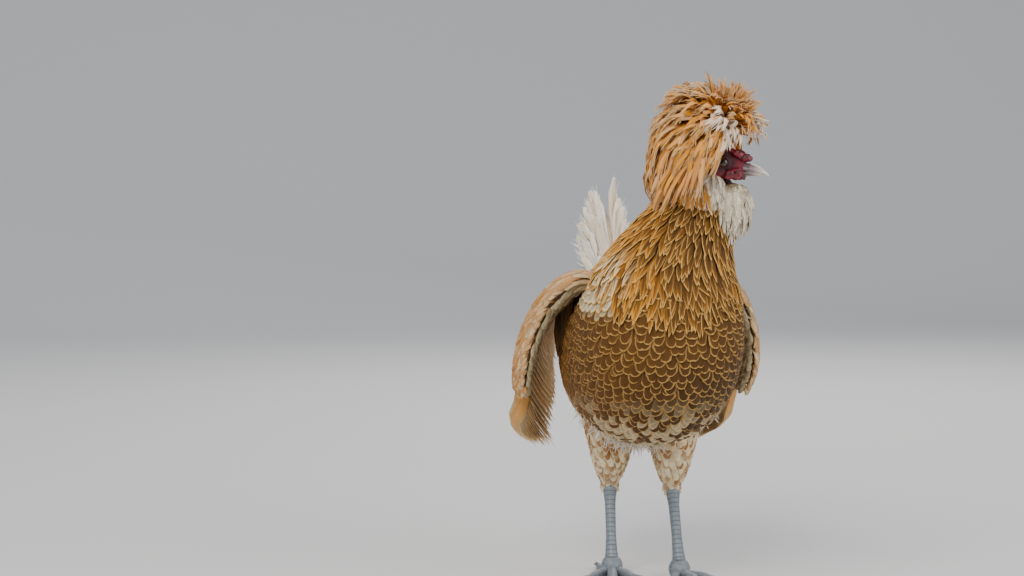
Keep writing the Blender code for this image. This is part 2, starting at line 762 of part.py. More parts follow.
def make_beard(neighbours):
    """The beard under the chin and the muffs on both cheeks, as locks on one core."""
    core = head_ellipsoid("beard", BEARD_CENTRE, BEARD_CORE, 6, 9)
    rng = random.Random(SEED + 3)
    pieces = []
    for tilt, count, length, width in BEARD_TIERS:
        for k in range(count):
            turn = BEARD_WRAP * (2 * k / (count - 1) - 1) + rng.uniform(-0.05, 0.05)
            reach = length * rng.uniform(0.9, 1.1)
            pieces.append(drooping_lock(at_head(*BEARD_CENTRE), tilt, turn, reach, width))
    for side in (-1, 1):
        cheek = on_side(MUFF_CENTRE, side)
        pieces.append(head_ellipsoid("muff", cheek, MUFF_CORE, 5, 9))
        for turn, tilt, length in MUFF_FEATHERS:
            way = side * math.radians(turn)
            pieces.append(drooping_lock(at_head(*cheek), math.radians(tilt), way, length, MUFF_WIDTH))
    fuse(core, pieces)
    for other in (plain_head(GAP), neck_blocker(), *(grown(other, GAP) for other in neighbours)):
        cut_clear(core, other)
    return finish_node(core, "beard", "cream_plumage")


# Arm of each wing from the shoulder to the tip of the hand: across, along Y and up, then chord and thickness.
# The left wing is held closer, with its hand tucked in.
ARMS = {
    "right": [
        (0.0321, -0.024, 0.246, 0.030, 0.0160),
        (0.0586, -0.020, 0.257, 0.050, 0.0180),
        (0.0822, -0.010, 0.241, 0.050, 0.0165),
        (0.0973, -0.002, 0.214, 0.044, 0.0140),
        (0.1040, 0.004, 0.186, 0.036, 0.0115),
        (0.1045, 0.010, 0.165, 0.026, 0.0085),
        (0.1020, 0.015, 0.149, 0.014, 0.0050),
    ],
    "left": [
        (0.0296, -0.024, 0.246, 0.030, 0.0160),
        (0.0539, -0.020, 0.257, 0.050, 0.0180),
        (0.0757, -0.010, 0.241, 0.050, 0.0165),
        (0.0896, -0.002, 0.214, 0.044, 0.0140),
        (0.0945, 0.005, 0.186, 0.036, 0.0115),
        (0.0925, 0.013, 0.165, 0.026, 0.0085),
        (0.0875, 0.021, 0.149, 0.014, 0.0050),
    ],
}
CHORD_DROP = 0.18
# Tips of the flight feathers, evenly from the innermost secondary to the outermost primary
WING_TIPS = {
    "right": [
        (0.0540, 0.130, 0.221),
        (0.0550, 0.136, 0.180),
        (0.0550, 0.129, 0.142),
        (0.0660, 0.107, 0.114),
        (0.0850, 0.076, 0.109),
        (0.1020, 0.046, 0.116),
    ],
    "left": [
        (0.0505, 0.130, 0.222),
        (0.0530, 0.137, 0.184),
        (0.0560, 0.133, 0.148),
        (0.0620, 0.118, 0.116),
        (0.0690, 0.098, 0.106),
        (0.0770, 0.074, 0.112),
    ],
}
FIRST_FLIGHT, LAST_FLIGHT = 1.15, 5.75
SECONDARIES = {"count": 9, "from": 1.36, "to": 3.80, "width": 0.0205, "depth": 0.0}
PRIMARIES = {"count": 7, "from": 4.34, "to": 5.75, "width": 0.0160, "depth": -0.0084}
# Covert tiers: first and last place, share of the chord where they root, how far they reach over the sheet,
# width, and depth over it
COVERTS = [
    {"count": 7, "from": 1.70, "to": 5.3, "root": 0.22, "end": 0.46, "width": 0.0205, "depth": 0.0053},
    {"count": 7, "from": 1.62, "to": 5.0, "root": -0.05, "end": 0.22, "width": 0.0195, "depth": 0.0088},
]
WING_BULGE = 0.012
STRIP_RADIUS = 0.0027
STRIP_DROP = 0.0008
SHINGLE_TILT = math.radians(8)


class Wing:
    """One wing's sheet, from which its arm, flight feathers and coverts are all placed."""

    def __init__(self, side, label):
        self.side = side
        self.label = label
        self.arm_rows = ARMS[label]
        self.tip_rows = WING_TIPS[label]

    def world(self, across, y, z):
        return Vector((self.side * across, y, z))

    def arm_frame(self, place):
        """The middle, the way outwards, the way along the chord, the chord and the thickness."""
        across, y, z, chord, thick = spline_row(self.arm_rows, place)
        step = spline_row(self.arm_rows, place + 0.1) - spline_row(self.arm_rows, place - 0.1)
        along = self.world(*step[:3]).normalized()
        back = Vector((0.0, 1.0, -CHORD_DROP))
        back = (back - along * back.dot(along)).normalized()
        out = along.cross(back).normalized()
        if out.x * self.side + out.z < 0:
            out = -out
        return self.world(across, y, z), out, back, float(chord), float(thick)

    def arm_ring(self, place, around=12):
        middle, out, back, chord, thick = self.arm_frame(place)
        turns = [2 * math.pi * k / around for k in range(around)]
        return [middle + back * math.cos(a) * chord / 2 + out * math.sin(a) * thick / 2 for a in turns]

    def sheet(self, place, share, depth):
        """A point of the flight feathers' sheet. share runs from 0 at the arm's rear edge to 1 at the tips."""
        middle, out, back, chord, _ = self.arm_frame(place)
        root = middle + back * chord / 2
        tip_place = (place - FIRST_FLIGHT) / (LAST_FLIGHT - FIRST_FLIGHT) * (len(self.tip_rows) - 1)
        tip = self.world(*spline_row(self.tip_rows, tip_place))
        bulge = WING_BULGE * math.sin(math.pi * max(0.0, share))
        return root + (tip - root) * share + out * (bulge + depth)

    def feather(self, place, path, width):
        """A flight feather or covert along a path, tilted like a roof's shingle."""
        middle, out = self.arm_frame(place)[:2]
        inwards = self.arm_frame(place - 0.2)[0] - middle

        def face(t):
            ahead = (path(min(1.0, t + 0.05)) - path(max(0.0, t - 0.05))).normalized()
            across = ahead.cross(out).normalized()
            if across.dot(inwards) < 0:
                across = -across
            return (out * math.cos(SHINGLE_TILT) - across * math.sin(SHINGLE_TILT)).normalized()

        return vane(path, face, width, 0.0009, 0.0006)

    def covert(self, place, tier):
        """A covert rooted in the arm, which comes out near its rear edge and lies over the sheet."""
        middle, out, back, chord, thick = self.arm_frame(place)
        root = middle + back * chord * tier["root"] + out * thick * 0.12
        bend = middle + back * chord * 0.40 + out * (thick * 0.40 + tier["depth"])
        end = self.sheet(place, tier["end"], tier["depth"])

        def path(t):
            return root * (1 - t) ** 2 + bend * 2 * t * (1 - t) + end * t * t

        return self.feather(place, path, tier["width"])

    def flight(self, kind, spec, arm):
        """The primaries or the secondaries, rooted in a strip along the rear edge of the arm."""
        depth = spec["depth"]
        ends = np.linspace(spec["from"] - 0.05, spec["to"] + 0.05, 6)
        strip = [self.sheet(place, 0.012, depth * 0.6 - STRIP_DROP) for place in ends]
        name = f"wing_{self.label}_{kind}"
        core = tube(name, strip, [STRIP_RADIUS] * 6, 6, up=Vector((0, 1, 0)))
        pieces = []
        for k in range(spec["count"]):
            place = spec["from"] + (spec["to"] - spec["from"]) * k / (spec["count"] - 1)

            def path(t, place=place):
                return self.sheet(place, t, depth * (0.6 + 0.4 * smooth_step(0.0, 0.3, t)))

            pieces.append(self.feather(place, path, spec["width"]))
        fuse(core, pieces)
        cut_clear(core, grown(arm, GAP))
        return finish_node(core, name, "buff_plumage")

    def build(self, torso):
        places = np.linspace(0.0, len(self.arm_rows) - 1, 10)
        name = f"wing_{self.label}_arm"
        arm = object_from(loft_mesh([self.arm_ring(p) for p in places]), name)
        cut_clear(arm, grown(torso, GAP))
        self.flight("secondaries", SECONDARIES, arm)
        self.flight("primaries", PRIMARIES, arm)
        pieces = []
        for tier in COVERTS:
            for k in range(tier["count"]):
                place = tier["from"] + (tier["to"] - tier["from"]) * k / (tier["count"] - 1)
                pieces.append(self.covert(place, tier))
        fuse(arm, pieces)
        finish_node(arm, name, "buff_plumage")


def make_leg(leg, label, torso):
    """One leg: feathered thigh, bare shank, and a foot with three toes forward and one back."""
    x, foot_y, side = leg["x"], leg["foot_y"], leg["side"]
    hock = Vector((x, foot_y + HOCK_BACK, HOCK_HEIGHT))
    ankle = Vector((x + side * 0.002, foot_y, 0.0150))
    knee = Vector((leg["knee_x"], foot_y - 0.006, HIP_HEIGHT))
    shares = (0.0, 0.30, 0.55, 0.78, 0.94, 1.0)
    drums = [knee.lerp(hock, t) - Vector((0, 0.004 * math.sin(math.pi * t), 0)) for t in shares]
    thigh = tube("thigh", drums, THIGH_RADII, 16, flat=1.15, up=Vector((0, 1, 0)))
    cut_clear(thigh, grown(torso, GAP))
    finish_node(thigh, f"thigh_{label}", "buff_plumage")
    top = hock + (ankle - hock).normalized() * GAP
    shank_path = [top] + [hock.lerp(ankle, t) for t in (0.12, 0.3, 0.7, 0.9, 1.0)]
    radii = (0.0064, 0.0062, SHANK_RADIUS, SHANK_RADIUS * 0.94, 0.0052, 0.0060)
    shank = tube("shank", shank_path, radii, 12, flat=1.15, up=Vector((0, 1, 0)))
    cut_clear(shank, grown(thigh, GAP))
    finish_node(shank, f"shank_{label}", "slate_scales")
    make_foot(side, label, ankle, shank)


# Toes: turn outwards from straight ahead, length, radius at the root, claw length
TOES = {
    "middle": (0.06, 0.050, 0.0050, 0.0115),
    "outer": (0.62, 0.040, 0.0044, 0.0100),
    "inner": (-0.52, 0.036, 0.0046, 0.0105),
    "hind": (math.pi - 0.25, 0.019, 0.0040, 0.0095),
}
TOE_OUT = 0.12
TOE_STEPS = 5


def make_foot(side, label, ankle, shank):
    pad_centre = Vector((ankle.x, ankle.y - 0.002, 0.0078))
    core = ellipsoid("foot", pad_centre, (0.0095, 0.0115, 0.0098), rings=7, around=10)
    pieces = []
    claws = []
    for toe, (turn, length, radius, claw) in TOES.items():
        way = side * (turn + (TOE_OUT if toe != "hind" else 0.0))
        ahead = Vector((math.sin(way), -math.cos(way), 0.0))
        start = pad_centre + ahead * 0.001
        path, radii = [], []
        for k in range(TOE_STEPS):
            t = k / (TOE_STEPS - 1)
            r = radius * (1.0 - 0.32 * t) * (1.0 + 0.08 * math.cos(4 * math.pi * t))
            point = start + ahead * (length + 0.008) * t
            point.z = r * 0.86 + 0.0022 * (1 - t) ** 2
            path.append(point)
            radii.append(r)
        path[-1].z = path[-2].z
        pieces.append(tube("toe", path, radii, 6))
        claws.append((toe, path[-1], ahead, radii[-1], claw))
    foot = fuse(core, pieces)
    flatten_sole(foot)
    cut_clear(foot, grown(shank, GAP))
    finish_node(foot, f"foot_{label}", "slate_scales")
    for toe, end, ahead, radius, length in claws:
        make_claw(f"claw_{label}_{toe}", end, ahead, radius, length)


def flatten_sole(foot):
    """Presses the underside of the foot flat at the floor."""
    box = bmesh.new()
    bmesh.ops.create_cube(box, size=1.0)
    for vert in box.verts:
        vert.co = Vector((vert.co.x * 0.4, vert.co.y * 0.4, vert.co.z * 0.05 - 0.025))
    cut_clear(foot, object_from(box, "floor"))


def make_claw(name, end, ahead, radius, length):
    """A curved claw whose base faces the end of its toe and whose tip dips towards the floor."""
    base = end + ahead * GAP * 1.5
    path = [base, base + ahead * length * 0.12]
    for k in range(1, 5):
        t = k / 4
        dip = (base.z - 0.0016) * t * t
        rise = Vector((0, 0, 0.0012 * math.sin(math.pi * t) - dip))
        path.append(base + ahead * length * (0.12 + 0.88 * t) + rise)
    radii = [radius * 0.86 * share for share in (1.0, 0.97, 0.86, 0.66, 0.42, 0.16)]
    return finish_node(tube(name, path, radii, 6), name, "claw_horn")


def place_origin():
    """Parents every piece to one empty, moved so that the origin is under the middle of the whole bird."""
    stand = bpy.data.objects.new("bird", None)
    bpy.context.scene.collection.objects.link(stand)
    made = [piece for piece in bpy.context.scene.objects if piece.type == "MESH"]
    points = [vert.co for piece in made for vert in piece.data.vertices]
    for axis in (0, 1):
        values = [point[axis] for point in points]
        stand.location[axis] = -(min(values) + max(values)) / 2
    for piece in made:
        piece.parent = stand


def main():
    clear_scene()
    torso = make_torso()
    make_neck(torso)
    make_tail()
    make_head()
    sides = ((1, "left"), (-1, "right"))
    for side, label in sides:
        make_eye(side, f"eye_{label}")
    bills = make_bills()
    make_crest(make_comb(bills[0]))
    wattles = [make_wattle(side, f"wattle_{label}", bills) for side, label in sides]
    make_beard([*wattles, bills[1]])
    for side, label in sides:
        Wing(side, label).build(torso)
    for label, leg in LEGS.items():
        make_leg(leg, label, torso)
    place_origin()


main()
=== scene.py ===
# %% [markdown]
# A polish crested hen, buff laced and bearded, as a life-size still model.
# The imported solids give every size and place. This script gives the looks: one skin under the whole bird, coats of
# feathers that are made vane by vane, a bare red face, a horn bill, wet eyes and scaled slate legs.

# %% Load the frame
import math

import bpy
import numpy as np
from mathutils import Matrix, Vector


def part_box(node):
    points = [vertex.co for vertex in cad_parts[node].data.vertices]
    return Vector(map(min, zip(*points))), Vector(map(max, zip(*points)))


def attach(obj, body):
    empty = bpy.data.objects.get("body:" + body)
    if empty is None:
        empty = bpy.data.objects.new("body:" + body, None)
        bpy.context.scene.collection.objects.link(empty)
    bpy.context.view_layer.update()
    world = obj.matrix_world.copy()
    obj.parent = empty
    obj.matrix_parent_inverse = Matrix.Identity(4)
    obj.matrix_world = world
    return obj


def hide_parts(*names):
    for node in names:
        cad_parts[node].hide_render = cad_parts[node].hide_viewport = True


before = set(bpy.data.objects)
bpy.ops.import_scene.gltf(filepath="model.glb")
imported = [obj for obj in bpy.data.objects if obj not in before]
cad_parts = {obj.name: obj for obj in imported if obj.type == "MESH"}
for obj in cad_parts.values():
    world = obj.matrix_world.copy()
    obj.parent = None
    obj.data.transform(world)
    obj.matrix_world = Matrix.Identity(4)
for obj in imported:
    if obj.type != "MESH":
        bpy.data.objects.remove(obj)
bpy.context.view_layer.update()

# %% [markdown]
# Every size below repeats a driving dimension of the solids, in metres. The bird faces -Y and its left is +X.
# The solids were moved so that the origin is under the middle of the whole bird, so the place of one eye gives back
# how far everything moved.

# %% The head's own axes
HEAD_AT = np.array((0.031, -0.097, 0.363))
HEAD_TURN = math.radians(61)
HEAD_PITCH = math.radians(-4)
EYE_FORWARD, EYE_SIDE, EYE_UP, EYE_RADIUS = 0.0185, 0.0094, -0.0002, 0.0050
Z = np.array((0.0, 0.0, 1.0))
level = np.array((math.sin(HEAD_TURN), -math.cos(HEAD_TURN), 0.0))
FORWARD = level * math.cos(HEAD_PITCH) + Z * math.sin(HEAD_PITCH)
LEFT = np.cross(Z, FORWARD)
LEFT /= np.linalg.norm(LEFT)
UP = np.cross(FORWARD, LEFT)


def at_head(forward, left, up):
    """Points in the head's frame. Each value may be a number or an array."""
    forward, left, up = np.broadcast_arrays(forward, left, up)
    return HEAD_AT + forward[..., None] * FORWARD + left[..., None] * LEFT + up[..., None] * UP


eye_low, eye_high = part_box("eye_left")
SHIFT = np.array((eye_low + eye_high) / 2) - at_head(EYE_FORWARD, EYE_SIDE, EYE_UP)
print("the solids moved by", SHIFT.round(4))

# %% [markdown]
# The trunk is a row of sections from the rump to the top of the neck. A smooth curve through the rows gives a point
# of the plumage for any place along the bird and any angle round it, and so also the way that feathers lie: along a
# line of equal angle, towards the rump.

# %% The trunk's surface
# back y, back z, belly y, belly z, half width
BODY = np.array([
    (0.142, 0.272, 0.150, 0.250, 0.012),
    (0.114, 0.268, 0.134, 0.212, 0.031),
    (0.086, 0.262, 0.110, 0.172, 0.048),
    (0.050, 0.262, 0.072, 0.138, 0.061),
    (0.010, 0.266, 0.022, 0.122, 0.069),
    (-0.022, 0.274, -0.030, 0.120, 0.0715),
    (-0.040, 0.284, -0.082, 0.134, 0.070),
    (-0.050, 0.294, -0.120, 0.165, 0.066),
    (-0.056, 0.304, -0.139, 0.206, 0.059),
    (-0.060, 0.315, -0.141, 0.246, 0.050),
    (-0.064, 0.327, -0.134, 0.280, 0.040),
    (-0.069, 0.340, -0.125, 0.307, 0.031),
    (-0.074, 0.352, -0.118, 0.330, 0.024),
])
NECK_BASE, NECK_TOP = 8.5, 12.0
SECTION_POWER = 2.15
LEAN_START_Z, LEAN_END_Z, NECK_LEAN = 0.262, 0.362, 0.030


def smooth_step(low, high, value):
    share = np.clip((value - low) / (high - low), 0, 1)
    return share * share * (3 - 2 * share)


def spline_rows(rows, place):
    """The rows at places between whole numbers, on a smooth curve through all rows."""
    place = np.clip(np.asarray(place, float), 0, len(rows) - 1)
    i = np.minimum(place.astype(int), len(rows) - 2)
    t = (place - i)[..., None]
    before, start, end, after = (rows[np.clip(i + k, 0, len(rows) - 1)] for k in (-1, 0, 1, 2))
    return 0.5 * (
        2 * start
        + (end - before) * t
        + (2 * before - 5 * start + 4 * end - after) * t**2
        + (3 * start - before - 3 * end + after) * t**3
    )


def body_points(place, angle):
    """Points of the plumage. The angle is 0 on the back and a quarter turn on the bird's left."""
    place, angle = np.broadcast_arrays(np.asarray(place, float), np.asarray(angle, float))
    back_y, back_z, belly_y, belly_z, half_width = np.moveaxis(spline_rows(BODY, place), -1, 0)
    c, s = np.cos(angle), np.sin(angle)
    c = np.sign(c) * np.abs(c) ** (2 / SECTION_POWER)
    s = np.sign(s) * np.abs(s) ** (2 / SECTION_POWER)
    z = (back_z + belly_z) / 2 + c * (back_z - belly_z) / 2
    y = (back_y + belly_y) / 2 + c * (back_y - belly_y) / 2
    x = s * half_width + NECK_LEAN * smooth_step(LEAN_START_Z, LEAN_END_Z, z)
    return np.stack([x, y, z], axis=-1)


def unit(vectors):
    return vectors / np.maximum(np.linalg.norm(vectors, axis=-1, keepdims=True), 1e-12)


def body_normals(place, angle):
    along = body_points(place + 0.05, angle) - body_points(place - 0.05, angle)
    around = body_points(place, angle + 0.03) - body_points(place, angle - 0.03)
    return unit(np.cross(along, around))


# %% [markdown]
# The camera stands where the photographer stood: in front of the bird, a little to its right, at the height of its
# head, with a long lens. The bird stands right of the middle, so the camera looks past it.

# %% Camera
PHOTO_WIDTH = 1024
SENSOR_WIDTH = 36.0
FOCAL_PX = 2185.0
CAMERA_AZIMUTH = math.radians(-12)
CAMERA_DISTANCE, CAMERA_HEIGHT = 1.9, 0.365
BIRD_RIGHT_PX, HORIZON_UP_PX = 131.0, 130.0

camera_data = bpy.data.cameras.new("camera")
camera = bpy.data.objects.new("camera", camera_data)
bpy.context.scene.collection.objects.link(camera)
camera_data.sensor_width = SENSOR_WIDTH
camera_data.lens = FOCAL_PX / PHOTO_WIDTH * SENSOR_WIDTH
stand = Vector((math.sin(CAMERA_AZIMUTH), -math.cos(CAMERA_AZIMUTH), 0)) * CAMERA_DISTANCE
camera.location = stand + Vector((0, 0, CAMERA_HEIGHT)) + Vector(SHIFT)
camera.rotation_euler = (
    math.radians(90) - math.atan(HORIZON_UP_PX / FOCAL_PX),
    0,
    CAMERA_AZIMUTH + math.atan(BIRD_RIGHT_PX / FOCAL_PX),
)
bpy.context.scene.camera = camera
print("lens", round(camera_data.lens, 1), "mm")

# %% [markdown]
# A plain pale floor sweeps up into a backdrop, as in a small photo studio. Three soft lamps light it: a large one
# high on the left of the picture, a weaker one on the right, and one behind that draws a light edge on the crest.

# %% Studio
FLOOR_SIZE = 8.0
SWEEP_BACK = 2.6


def deselect():
    for other in list(bpy.context.selected_objects):
        other.select_set(False)


def primitive(add, name, **settings):
    """A new primitive with nothing else selected."""
    deselect()
    add(**settings)
    made = bpy.context.object
    made.name = name
    made.data.name = name
    return made


def edit_all(obj, *steps):
    """Runs operators in edit mode on the whole mesh of one object."""
    deselect()
    bpy.context.view_layer.objects.active = obj
    obj.select_set(True)
    bpy.ops.object.mode_set(mode="EDIT")
    bpy.ops.mesh.select_all(action="SELECT")
    for operator, settings in steps:
        operator(**settings)
    bpy.ops.object.mode_set(mode="OBJECT")


def plain_material(name, colour, roughness):
    made = bpy.data.materials.new(name)
    made.use_nodes = True
    shader = made.node_tree.nodes["Principled BSDF"]
    shader.inputs["Base Color"].default_value = (*colour, 1)
    shader.inputs["Roughness"].default_value = roughness
    return made


floor = primitive(bpy.ops.mesh.primitive_grid_add, "floor", x_subdivisions=2, y_subdivisions=60, size=FLOOR_SIZE)
for vert in floor.data.vertices:
    past = vert.co.y - SWEEP_BACK
    if past > 0:
        vert.co.z = 0.55 * past * past
floor.data.shade_smooth()
floor.data.materials.append(plain_material("pale_floor", (0.62, 0.61, 0.59), 0.85))


def soft_lamp(name, place, size, watts, colour):
    data = bpy.data.lights.new(name, "AREA")
    data.size = size
    data.energy = watts
    data.color = colour
    lamp = bpy.data.objects.new(name, data)
    bpy.context.scene.collection.objects.link(lamp)
    lamp.location = place
    lamp.rotation_euler = (Vector((0, 0, 0.22)) - Vector(place)).to_track_quat("-Z", "Y").to_euler()
    return lamp


soft_lamp("key", (-1.2, -1.7, 2.0), 1.7, 66, (1.0, 0.98, 0.95))
soft_lamp("fill", (1.8, -1.4, 1.0), 1.8, 27, (0.95, 0.97, 1.0))
soft_lamp("rim", (0.6, 1.7, 1.6), 1.0, 26, (1.0, 0.98, 0.95))
world = bpy.data.worlds.new("studio")
world.use_nodes = True
world.node_tree.nodes["Background"].inputs["Color"].default_value = (0.85, 0.9, 1.0, 1)
world.node_tree.nodes["Background"].inputs["Strength"].default_value = 0.62
bpy.context.scene.world = world

# %% [markdown]
# Shader maths reads best as plain expressions. A small class wraps a node's output, and its operators add the Math
# nodes. Any other node comes from one method that sets the node's settings first and then its inputs.

# %% Shader expressions


class Value:
    """A number or a colour that flows through a material."""

    def __init__(self, tree, socket):
        self.tree, self.socket = tree, socket

    def math(self, operation, *others):
        node = self.tree.nodes.new("ShaderNodeMath")
        node.operation = operation
        for slot, value in zip(node.inputs, (self, *others)):
            feed(self.tree, slot, value)
        return Value(self.tree, node.outputs[0])

    def __add__(self, other):
        return self.math("ADD", other)

    __radd__ = __add__

    def __mul__(self, other):
        return self.math("MULTIPLY", other)

    __rmul__ = __mul__

    def __sub__(self, other):
        return self.math("SUBTRACT", other)

    def __rsub__(self, other):
        return (self * -1.0) + other

    def __truediv__(self, other):
        return self.math("DIVIDE", other)

    def above(self, low, high):
        """0 below low, 1 above high, smooth between. low may be the greater."""
        node = self.tree.nodes.new("ShaderNodeMapRange")
        node.interpolation_type = "SMOOTHSTEP"
        feed(self.tree, node.inputs["Value"], self)
        flip = low > high
        node.inputs["From Min"].default_value = min(low, high)
        node.inputs["From Max"].default_value = max(low, high)
        node.inputs["To Min"].default_value = float(flip)
        node.inputs["To Max"].default_value = float(not flip)
        return Value(self.tree, node.outputs["Result"])


def feed(tree, slot, value):
    if isinstance(value, Value):
        tree.links.new(value.socket, slot)
    elif isinstance(value, tuple) and len(value) == 3 and slot.type == "RGBA":
        slot.default_value = (*value, 1)
    else:
        slot.default_value = value


class Paint:
    """A material whose nodes are added one call at a time."""

    def __init__(self, name, **constants):
        self.material = bpy.data.materials.new(name)
        self.material.use_nodes = True
        self.tree = self.material.node_tree
        self.shader = self.tree.nodes["Principled BSDF"]
        for slot, value in constants.items():
            feed(self.tree, self.shader.inputs[slot.replace("_", " ")], value)

    def node(self, kind, output, settings=None, **inputs):
        made = self.tree.nodes.new(kind)
        for key, value in (settings or {}).items():
            setattr(made, key, value)
        for slot, value in inputs.items():
            feed(self.tree, made.inputs[slot.replace("_", " ")], value)
        return Value(self.tree, made.outputs[output])

    def mix(self, share, first, second, blend="MIX"):
        made = self.tree.nodes.new("ShaderNodeMix")
        made.data_type = "RGBA"
        made.blend_type = blend
        for slot, value in ((0, share), (6, first), (7, second)):
            feed(self.tree, made.inputs[slot], value)
        return Value(self.tree, made.outputs[2])

    def uv(self, name):
        """The two numbers of a UV map."""
        whole = self.node("ShaderNodeUVMap", "UV", {"uv_map": name})
        split = self.tree.nodes.new("ShaderNodeSeparateXYZ")
        feed(self.tree, split.inputs[0], whole)
        return Value(self.tree, split.outputs[0]), Value(self.tree, split.outputs[1])

    def attribute(self, name, output="Fac"):
        return self.node("ShaderNodeAttribute", output, {"attribute_name": name})

    def noise(self, scale, detail=2.0, where=None, roughness=0.5):
        where = where or self.node("ShaderNodeTexCoord", "Object")
        return self.node("ShaderNodeTexNoise", 0, None, Vector=where, Scale=scale, Detail=detail, Roughness=roughness)

    def vector(self, x, y, z=0.0):
        return self.node("ShaderNodeCombineXYZ", "Vector", None, X=x, Y=y, Z=z)

    def curve(self, value, stops):
        """A grey ramp through (place, brightness) stops."""
        made = self.tree.nodes.new("ShaderNodeValToRGB")
        ramp = made.color_ramp
        while len(ramp.elements) < len(stops):
            ramp.elements.new(0.5)
        for element, (place, grey) in zip(ramp.elements, stops):
            element.position = place
            element.color = (grey, grey, grey, 1)
        feed(self.tree, made.inputs[0], value)
        return self.node("ShaderNodeRGBToBW", "Val", None, Color=Value(self.tree, made.outputs[0]))

    def colour(self, value):
        feed(self.tree, self.shader.inputs["Base Color"], value)

    def bump(self, height, distance, strength=1.0):
        made = self.node("ShaderNodeBump", "Normal", None, Height=height, Distance=distance, Strength=strength)
        feed(self.tree, self.shader.inputs["Normal"], made)


def srgb(red, green, blue):
    """A colour as a screen shows it, from 0 to 255, as the linear values that the shader takes."""
    values = np.array((red, green, blue)) / 255
    return tuple(float(v) for v in np.where(values <= 0.04045, values / 12.92, ((values + 0.055) / 1.055) ** 2.4))


# %% [markdown]
# A contour feather is a thin curved vane on a shaft. Here each is a closed lens of a few dozen faces, and thousands
# of them are made at once from arrays: a table says how wide the vane is at each station from root to tip, and a
# spine says where each station of each feather lies. The rim is a little uneven, as barbs never end in one line.

# %% Feather shapes
# Shares of the length and of the half width there. The tip is a point at the end of the last share.
SHAPES = {
    "scale": ((0.0, 0.30, 0.55, 0.75, 0.88, 0.96), (0.35, 0.80, 1.0, 0.97, 0.76, 0.45)),
    "lance": ((0.0, 0.20, 0.42, 0.62, 0.80, 0.93), (0.40, 0.85, 1.0, 0.90, 0.60, 0.26)),
    "plume": ((0.0, 0.28, 0.55, 0.76, 0.90, 0.97), (0.22, 0.55, 0.88, 1.0, 0.80, 0.46)),
    "wisp": ((0.0, 0.30, 0.60, 0.85), (0.55, 1.0, 0.75, 0.35)),
    "flight": ((0.0, 0.08, 0.30, 0.55, 0.75, 0.88, 0.96), (0.25, 0.62, 0.95, 1.0, 0.97, 0.76, 0.42)),
}
# Round one section: share of the half width, and 1 on the upper face, 0 on the rim or -1 on the lower face
SECTION = ((-1.0, 0), (-0.55, 1), (0.0, 1), (0.55, 1), (1.0, 0), (0.0, -1))
SHAFT_RIDGE = 0.00018
BAKE_PATCH = 0.003


def stations(shape):
    return np.array((*SHAPES[shape][0], 1.0))


